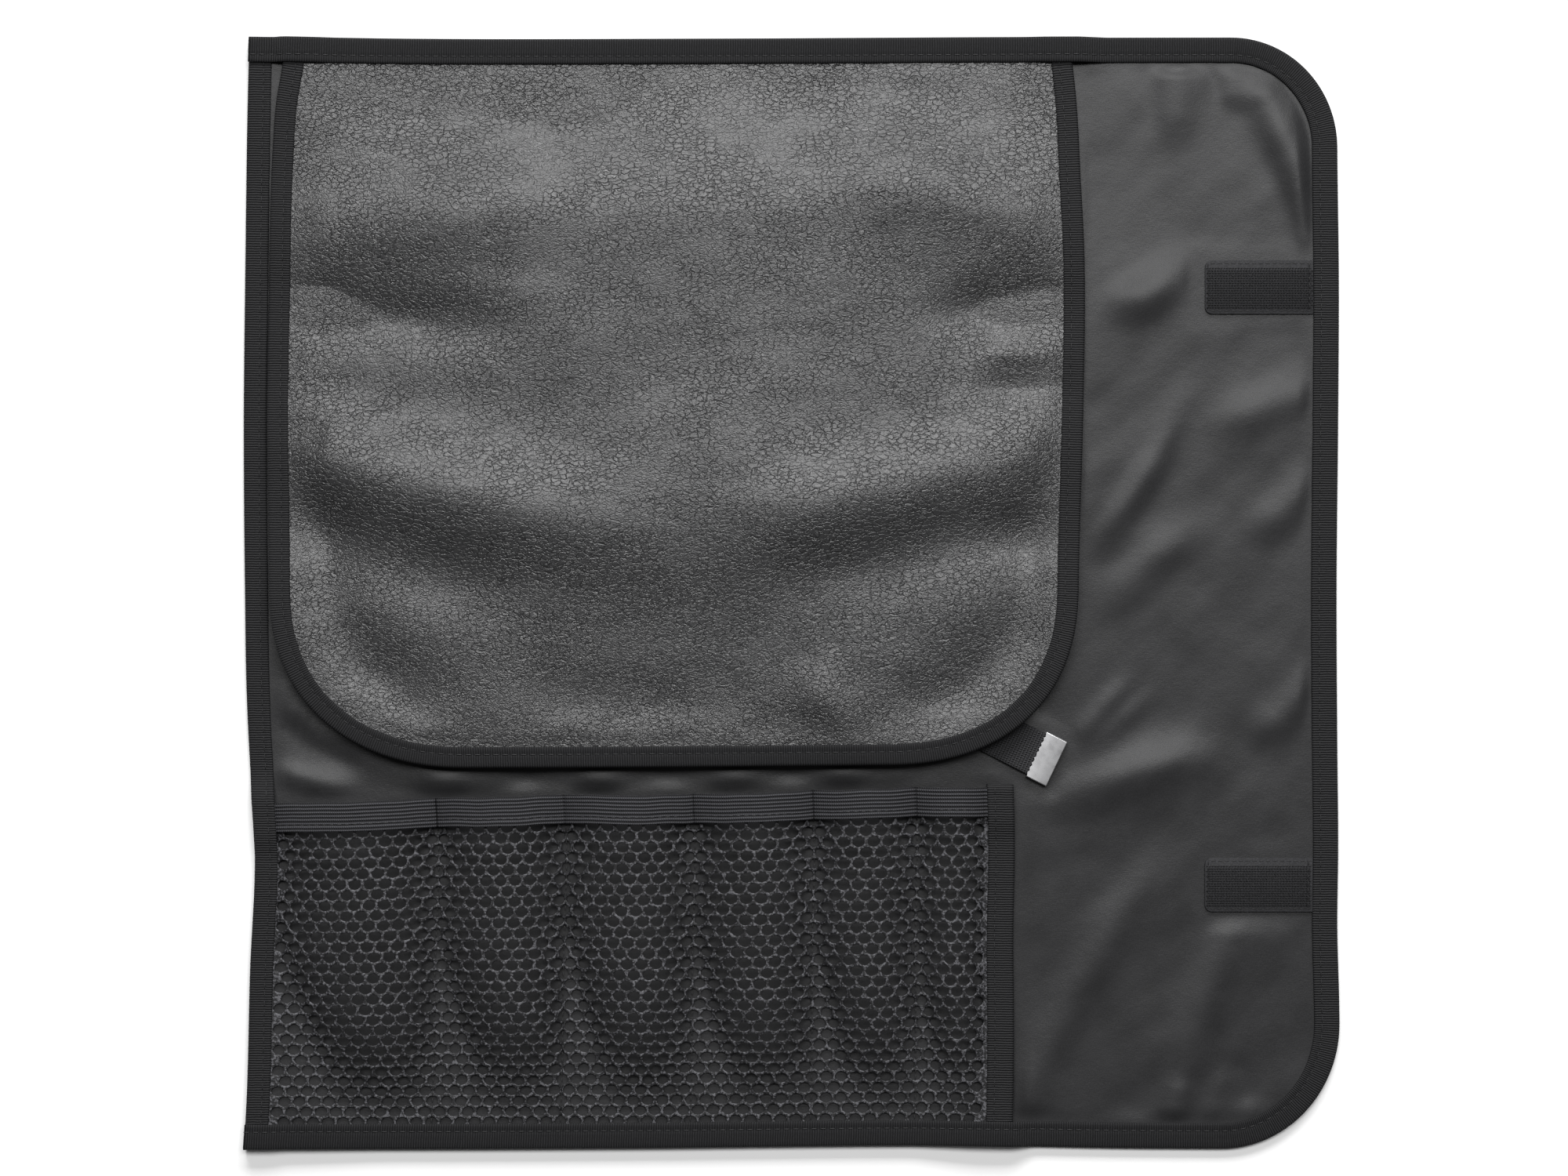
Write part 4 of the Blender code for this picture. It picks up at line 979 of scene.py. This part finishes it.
class KNIFEROLL_OT_net(bpy.types.Operator):
    """Knits the net of the pockets"""
    bl_idname = "knife_roll.net"
    bl_label = "Pocket net"

    def execute(self, context):
        columns = [LEFT + EDGE_INSET]
        start = POCKET_LEFT
        for width, _, _, meshes in POCKETS:
            columns += [start + width * k / (2 * meshes) for k in range(2 * meshes)]
            start += width
        columns = np.array(columns + [POCKET_RIGHT, SIDE_TAPE_X - EDGE_INSET])
        inner = len(columns) - 2
        bm, places = grid_of(len(columns), NET_ROWS + 3)
        table = {(i, j): v for v, i, j in places}
        foot = BOTTOM + EDGE_TAPE_WIDTH - NET_UNDER_TAPE
        rims = mouth_y(columns) - ELASTIC_WIDTH + NET_UNDER_TAPE
        for vert, i, j in places:
            pitch = (rims[i] - foot) / NET_ROWS
            if j == 0:
                y = BOTTOM + EDGE_INSET
            elif j == NET_ROWS + 2:
                y = rims[i] + ELASTIC_WIDTH - NET_UNDER_TAPE - EDGE_INSET
            else:
                y = foot + pitch * (j - 1)
                if 0 < i <= inner:
                    y += pitch * (0.2 if (i + j) % 2 else -0.2)
            vert.co = (columns[i], y, 0.0)
        joined = []
        for j in range(1, NET_ROWS + 1):
            for i in range(2 + j % 2, inner, 2):
                low, high = table[i, j], table[i, j + 1]
                joined.append(next(e for e in low.link_edges if e.other_vert(low) == high))
        bmesh.ops.dissolve_edges(bm, edges=joined, use_verts=False, use_face_split=False)
        meshes = [face for face in bm.faces if len(face.verts) == 6]
        bmesh.ops.inset_individual(bm, faces=meshes, use_even_offset=True,
                                   thickness=context.scene.roll_sizes.strand / 2)
        bmesh.ops.delete(bm, geom=[f for f in meshes if f.is_valid], context="FACES_ONLY")
        material = net_finish(context.scene.roll_colours)
        middle = columns[1 + 2 * sum(row[3] for row in POCKETS[:2])]
        whole = bm.copy()
        for name, side in (("net_left", 1), ("net_right", -1)):
            part = whole.copy()
            far = [f for f in part.faces if (f.calc_center_median().x - middle) * side > 0]
            bmesh.ops.delete(part, geom=far, context="FACES")
            x = np.array([v.co.x for v in part.verts])
            y = np.array([v.co.y for v in part.verts])
            move_all(part.verts, x, y, net_low(x, y))
            piece = add_piece(name, part, material, "pocket_net")
            thicken(piece, NET_THICK * 0.9)
            rounding = piece.modifiers.new("Rounding", "SUBSURF")
            rounding.levels = rounding.render_levels = 1
            flat = (self.cut_width(min(columns), middle) if side == 1
                    else self.cut_width(middle, max(columns)), rims[0] - foot + NET_MARGIN)
        whole.free()
        bm.free()
        return {"FINISHED"}

    def cut_width(self, left, right):
        """Width of the net laid flat, along the arches of the pockets' mouths."""
        x = np.linspace(left, right, 600)
        level = net_low(x, mouth_y(x) - ELASTIC_WIDTH)
        return float(np.hypot(np.diff(x), np.diff(level)).sum())


class KNIFEROLL_OT_elastic(bpy.types.Operator):
    """Stretches the ribbed band over the pockets' mouths"""
    bl_idname = "knife_roll.elastic"
    bl_label = "Elastic band"

    def execute(self, context):
        columns = np.linspace(LEFT + EDGE_INSET, SIDE_TAPE_X - EDGE_INSET - GAP, 420)
        bm, places = grid_of(len(columns), 18)
        share = np.array([j for _, _, j in places]) / 17
        x = columns[[i for _, i, _ in places]]
        y = mouth_y(x) - ELASTIC_WIDTH * (1 - share)
        spot = {v: (columns[i], j / 17 * ELASTIC_WIDTH) for v, i, j in places}
        strip = bm.loops.layers.uv.new("strip")
        for face in bm.faces:
            for loop in face.loops:
                loop[strip].uv = spot[loop.vert]
        seam = np.exp(-((share * ELASTIC_WIDTH - SEAM_UP) / 0.0006)**2)
        gather = 0.00012 * ripples(x, y, 0.004, 8.0, 1.0) - 0.0002 * seam
        y = y + 0.0003 * ripples(x, y * 0.3, 0.012, 6.0)
        move_all([v for v, _, _ in places], x, y,
                 net_low(x, y) + NET_THICK + ELASTIC_CLEAR + gather)
        piece = add_piece("elastic_band", bm, elastic_finish(context.scene.roll_colours),
                          "pocket_elastic")
        thicken(piece, ELASTIC_THICK)
        return {"FINISHED"}


class KNIFEROLL_OT_hook_patches(bpy.types.Operator):
    """Makes the two patches of hook tape"""
    bl_idname = "knife_roll.hook_patches"
    bl_label = "Hook patches"

    def execute(self, context):
        material = hook_finish(context.scene.roll_colours)
        pitch = context.scene.roll_sizes.hook_pitch
        hook = self.hook_mesh()
        for name in ("hook_patch_upper", "hook_patch_lower"):
            low, high = (Vector(corner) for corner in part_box(name))
            bm = bmesh.new()
            bmesh.ops.create_cube(bm, size=1.0)
            bmesh.ops.scale(bm, verts=bm.verts[:], vec=(high.x - low.x, high.y - low.y, HOOK_BACKING))
            bmesh.ops.translate(bm, verts=bm.verts[:], vec=((high.x + low.x) / 2,
                                                            (high.y + low.y) / 2,
                                                            low.z + HOOK_BACKING / 2))
            corner = [e for e in bm.edges
                      if all(v.co.x < low.x + 1e-5 for v in e.verts)
                      and abs(e.verts[0].co.z - e.verts[1].co.z) > 0.0005]
            bmesh.ops.bevel(bm, geom=corner, offset=0.0030, segments=4, profile=0.5,
                            affect="EDGES", material=-1)
            rim = [e for e in bm.edges if all(v.co.z > low.z + 0.0008 for v in e.verts)]
            bmesh.ops.bevel(bm, geom=rim, offset=0.0002, segments=2, profile=0.5,
                            affect="EDGES", material=-1)
            matrices = []
            rows = int((high.y - low.y - 0.0058) / (pitch * 0.86))
            count = int((high.x - low.x - 0.0016) / pitch)
            for j in range(rows + 1):
                for i in range(count + 1):
                    x = low.x + 0.0010 + pitch * (i + 0.5 * (j % 2))
                    y = low.y + 0.0028 + pitch * 0.86 * j
                    if x > high.x - 0.0006:
                        continue
                    lean = 0.7 * noise.noise(Vector((x * 900, y * 900, 1.0)))
                    matrices.append(Matrix.Translation((x, y, low.z + HOOK_BACKING))
                                    @ Matrix.Rotation(lean + (math.pi if j % 2 else 0), 4, "Z"))
            copies(bm, hook, matrices)
            add_piece(name.replace("hook_patch", "hooks"), bm, material, name)
        return {"FINISHED"}

    def hook_mesh(self):
        """One hook: a thread bent over, standing on the tape."""
        bm = bmesh.new()
        ring = bmesh.ops.create_circle(bm, segments=5, radius=0.00015)["verts"]
        bmesh.ops.translate(bm, verts=ring, vec=(-0.00034, 0.0, 0.0))
        edges = [e for e in bm.edges]
        up = bmesh.ops.extrude_edge_only(bm, edges=edges)["geom"]
        top = [g for g in up if isinstance(g, bmesh.types.BMVert)]
        bmesh.ops.translate(bm, verts=top, vec=(0.0, 0.0, 0.00065))
        edge_ring = [g for g in up if isinstance(g, bmesh.types.BMEdge)
                     and all(v in top for v in g.verts)]
        bmesh.ops.spin(bm, geom=top + edge_ring, cent=(0.0, 0.0, 0.00065), axis=(0, 1, 0),
                       angle=math.radians(205), steps=5)
        bmesh.ops.holes_fill(bm, edges=[e for e in bm.edges if e.is_boundary], sides=0)
        bmesh.ops.recalc_face_normals(bm, faces=bm.faces[:])
        mesh = bpy.data.meshes.new("hook")
        bm.to_mesh(mesh)
        bm.free()
        return mesh


class KNIFEROLL_OT_strap(bpy.types.Operator):
    """Lays the webbing strap"""
    bl_idname = "knife_roll.strap"
    bl_label = "Strap"

    def execute(self, context):
        runs = np.linspace(TIP_WALL + GAP, STRAP_LENGTH, 90)
        bm, places = grid_of(13, len(runs))
        across = (np.array([i for _, i, _ in places]) / 12 - 0.5) * STRAP_WIDTH
        back = runs[[j for _, _, j in places]]
        x, y = strap_place(back, across)
        strip = bm.loops.layers.uv.new("strip")
        spot = {v: (runs[j], i / 12 * STRAP_WIDTH) for v, i, j in places}
        for face in bm.faces:
            for loop in face.loops:
                loop[strip].uv = spot[loop.vert]
        move_all([v for v, _, _ in places], x, y, strap_low(back))
        for face in bm.faces:
            face.normal_update()
            if face.normal.z < 0:
                face.normal_flip()
        piece = add_piece("webbing_strap", bm, webbing_finish(context.scene.roll_colours),
                          "strap")
        thicken(piece, STRAP_THICK)
        soft = piece.modifiers.new("Soft edges", "BEVEL")
        soft.width = 0.0005
        soft.segments = 2
        soft.angle_limit = math.radians(60)
        return {"FINISHED"}


class KNIFEROLL_OT_strap_end(bpy.types.Operator):
    """Folds the metal end over the strap"""
    bl_idname = "knife_roll.strap_end"
    bl_label = "Metal end"

    def execute(self, context):
        low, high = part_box("strap_tip")
        half = STRAP_WIDTH / 2 + 0.0004 + TIP_WALL
        height = high[2] - low[2]
        bm = bmesh.new()
        bmesh.ops.create_cube(bm, size=1.0)
        for vert in bm.verts:
            vert.co = ((vert.co.x + 0.5) * TIP_LENGTH, vert.co.y * 2 * half,
                       (vert.co.z + 0.5) * height)
        outer = [e for e in bm.edges if not all(v.co.x > TIP_LENGTH - 1e-6 for v in e.verts)]
        bmesh.ops.bevel(bm, geom=outer, offset=0.0005, segments=3, profile=0.5,
                        affect="EDGES", material=-1)
        back = max(bm.faces, key=lambda f: f.calc_center_median().x)
        bmesh.ops.inset_region(bm, faces=[back], thickness=TIP_WALL * 0.8,
                               use_even_offset=True)
        pushed = bmesh.ops.extrude_discrete_faces(bm, faces=[back])["faces"]
        for vert in pushed[0].verts:
            vert.co.x = TIP_WALL
        # the back edge is bitten into the webbing with small teeth
        lips = [e for e in bm.edges if all(v.co.x > TIP_LENGTH - 1e-5 for v in e.verts)
                and abs(e.verts[0].co.y - e.verts[1].co.y) > half]
        bmesh.ops.subdivide_edges(bm, edges=lips, cuts=23, use_grid_fill=False)
        for vert in bm.verts:
            if vert.co.x > TIP_LENGTH - 1e-5 and abs(vert.co.y) < half * 0.96:
                vert.co.x += 0.00035 * math.sin(vert.co.y * 2 * math.pi / 0.0024)
        x, y = strap_place(np.array([v.co.x for v in bm.verts]),
                           np.array([v.co.y for v in bm.verts]))
        move_all(bm.verts, x, y, [low[2] + v.co.z for v in bm.verts])
        piece = add_piece("metal_end", bm, metal_finish(context.scene.roll_colours),
                          "strap_tip", recalculate=True)
        piece.data.set_sharp_from_angle(angle=math.radians(15))
        return {"FINISHED"}


class KNIFEROLL_OT_stitching(bpy.types.Operator):
    """Sews the tapes, the elastic, the dividers and the hook patches"""
    bl_idname = "knife_roll.stitching"
    bl_label = "Stitching"

    def execute(self, context):
        sizes = context.scene.roll_sizes
        pitch, thick = sizes.stitch_pitch, sizes.thread
        thread = plain_finish("thread", context.scene.roll_colours.thread, 0.6, 3000, 0.00005)
        long_stitch = stitch_mesh(pitch * 0.72, thick / 2)
        short_stitch = stitch_mesh(0.0022, thick / 2)
        matrices = []
        for path, side, width, _, roof in TAPES.values():
            rows, _ = resampled(path(), 0.002)
            nx, ny = inward_normals(rows[:, 0], rows[:, 1], side)
            inward = width - SEAM_IN
            x, y = rows[:, 0] + nx * inward, rows[:, 1] + ny * inward
            matrices += seam_matrices(x, y, roof(x, y, rows[:, 2]) + 0.00002, pitch)
        self.sew("tape_stitches", long_stitch, matrices, thread)
        x = np.linspace(POCKET_LEFT, POCKET_RIGHT, 400)
        y = mouth_y(x) - ELASTIC_WIDTH + SEAM_UP
        top = net_low(x, y) + NET_THICK + ELASTIC_CLEAR + ELASTIC_THICK
        band = seam_matrices(x, y, top - 0.0001, 0.0034)
        start = POCKET_LEFT
        for width, _, _, _ in POCKETS[:-1]:
            start += width
            mouth = float(mouth_y(np.array([start]))[0])
            y = np.linspace(BOTTOM + EDGE_TAPE_WIDTH, mouth - 0.0005, 200)
            x = np.full_like(y, start)
            over = np.where(y > mouth - ELASTIC_WIDTH - 0.0005, ELASTIC_LEVEL, NET_LEVEL)
            top = net_low(x, y) - GAP + over + 0.0001
            band += seam_matrices(x, y, top, 0.0029)
        self.sew("pocket_stitches", short_stitch, band, thread)
        patches = []
        for name in ("hook_patch_upper", "hook_patch_lower"):
            low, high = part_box(name)
            z = low[2] + HOOK_BACKING
            for y in (low[1] + 0.0014, high[1] - 0.0014):
                x = np.linspace(low[0] + 0.002, high[0] - 0.0005, 60)
                patches += seam_matrices(x, np.full_like(x, y), np.full_like(x, z), 0.0030)
            y = np.linspace(low[1] + 0.002, high[1] - 0.002, 40)
            for x in (low[0] + 0.0013, high[0] - 0.0016):
                top = np.full_like(y, z + (0.0009 if x > low[0] + 0.01 else 0.0002))
                patches += seam_matrices(np.full_like(y, x), y, top, 0.0030)
        self.sew("patch_stitches", short_stitch, patches, thread)
        return {"FINISHED"}

    def sew(self, name, stitch, matrices, thread):
        bm = bmesh.new()
        copies(bm, stitch, matrices)
        add_piece(name, bm, thread, None)


class KNIFEROLL_OT_stage(bpy.types.Operator):
    """Sets the floor, the lights and the camera over the roll"""
    bl_idname = "knife_roll.stage"
    bl_label = "Stage"

    def execute(self, context):
        bm = bmesh.new()
        bmesh.ops.create_grid(bm, x_segments=1, y_segments=1, size=4.0)
        bmesh.ops.translate(bm, verts=bm.verts[:], vec=(0, 0, -0.0002))
        mesh = bpy.data.meshes.new("floor")
        bm.to_mesh(mesh)
        bm.free()
        mesh.materials.append(Finish("floor", (0.93, 0.93, 0.93), 0.9).material)
        floor = bpy.data.objects.new("floor", mesh)
        context.scene.collection.objects.link(floor)
        self.light(context, "overhead", (0.15, 1.74, 4.80), (4.4, 1.6), 200.0)
        self.light(context, "window", (0.2, 4.40, 2.60), (4.0, 1.7), 330.0)
        world = bpy.data.worlds.new("studio")
        world.use_nodes = True
        ground = world.node_tree.nodes["Background"]
        ground.inputs["Color"].default_value = (1.0, 1.0, 1.0, 1.0)
        ground.inputs["Strength"].default_value = 0.08
        context.scene.world = world
        data = bpy.data.cameras.new("camera")
        camera = bpy.data.objects.new("camera", data)
        camera.location = (-0.0033, 0.0022, 1.600)
        data.sensor_width = 36.0
        data.lens = 36.0 * 1.595 / 0.6858
        data.clip_start = 0.01
        context.scene.collection.objects.link(camera)
        context.scene.camera = camera
        context.scene.view_settings.view_transform = "Standard"
        return {"FINISHED"}

    def light(self, context, name, place, size, watts):
        data = bpy.data.lights.new(name, "AREA")
        data.shape = "RECTANGLE"
        data.size, data.size_y = size
        data.energy = watts
        lamp = bpy.data.objects.new(name, data)
        lamp.location = place
        lamp.rotation_euler = (-Vector(place)).to_track_quat("-Z", "Y").to_euler()
        context.scene.collection.objects.link(lamp)


class KNIFEROLL_PT_sidebar(bpy.types.Panel):
    """Lists the roll's pieces and what can be changed"""
    bl_label = "Knife roll"
    bl_idname = "KNIFEROLL_PT_sidebar"
    bl_space_type = "VIEW_3D"
    bl_region_type = "UI"
    bl_category = "Knife roll"

    def draw(self, context):
        layout = self.layout
        for group in (context.scene.roll_sizes, context.scene.roll_colours):
            for name in group.__annotations__:
                layout.prop(group, name)
        for operator in OPERATORS:
            layout.operator(operator.bl_idname)


OPERATORS = (
    KNIFEROLL_OT_panel, KNIFEROLL_OT_tapes, KNIFEROLL_OT_flap, KNIFEROLL_OT_net,
    KNIFEROLL_OT_elastic, KNIFEROLL_OT_hook_patches, KNIFEROLL_OT_strap,
    KNIFEROLL_OT_strap_end, KNIFEROLL_OT_stitching, KNIFEROLL_OT_stage,
)
CLASSES = (RollSizes, RollColours, *OPERATORS, KNIFEROLL_PT_sidebar)


def register():
    for cls in CLASSES:
        bpy.utils.register_class(cls)
    bpy.types.Scene.roll_sizes = bpy.props.PointerProperty(type=RollSizes)
    bpy.types.Scene.roll_colours = bpy.props.PointerProperty(type=RollColours)


def unregister():
    del bpy.types.Scene.roll_colours
    del bpy.types.Scene.roll_sizes
    for cls in reversed(CLASSES):
        bpy.utils.unregister_class(cls)


def main():
    register()
    for operator in OPERATORS:
        group, name = operator.bl_idname.split(".")
        getattr(getattr(bpy.ops, group), name)()


if __name__ == "__main__":
    main()
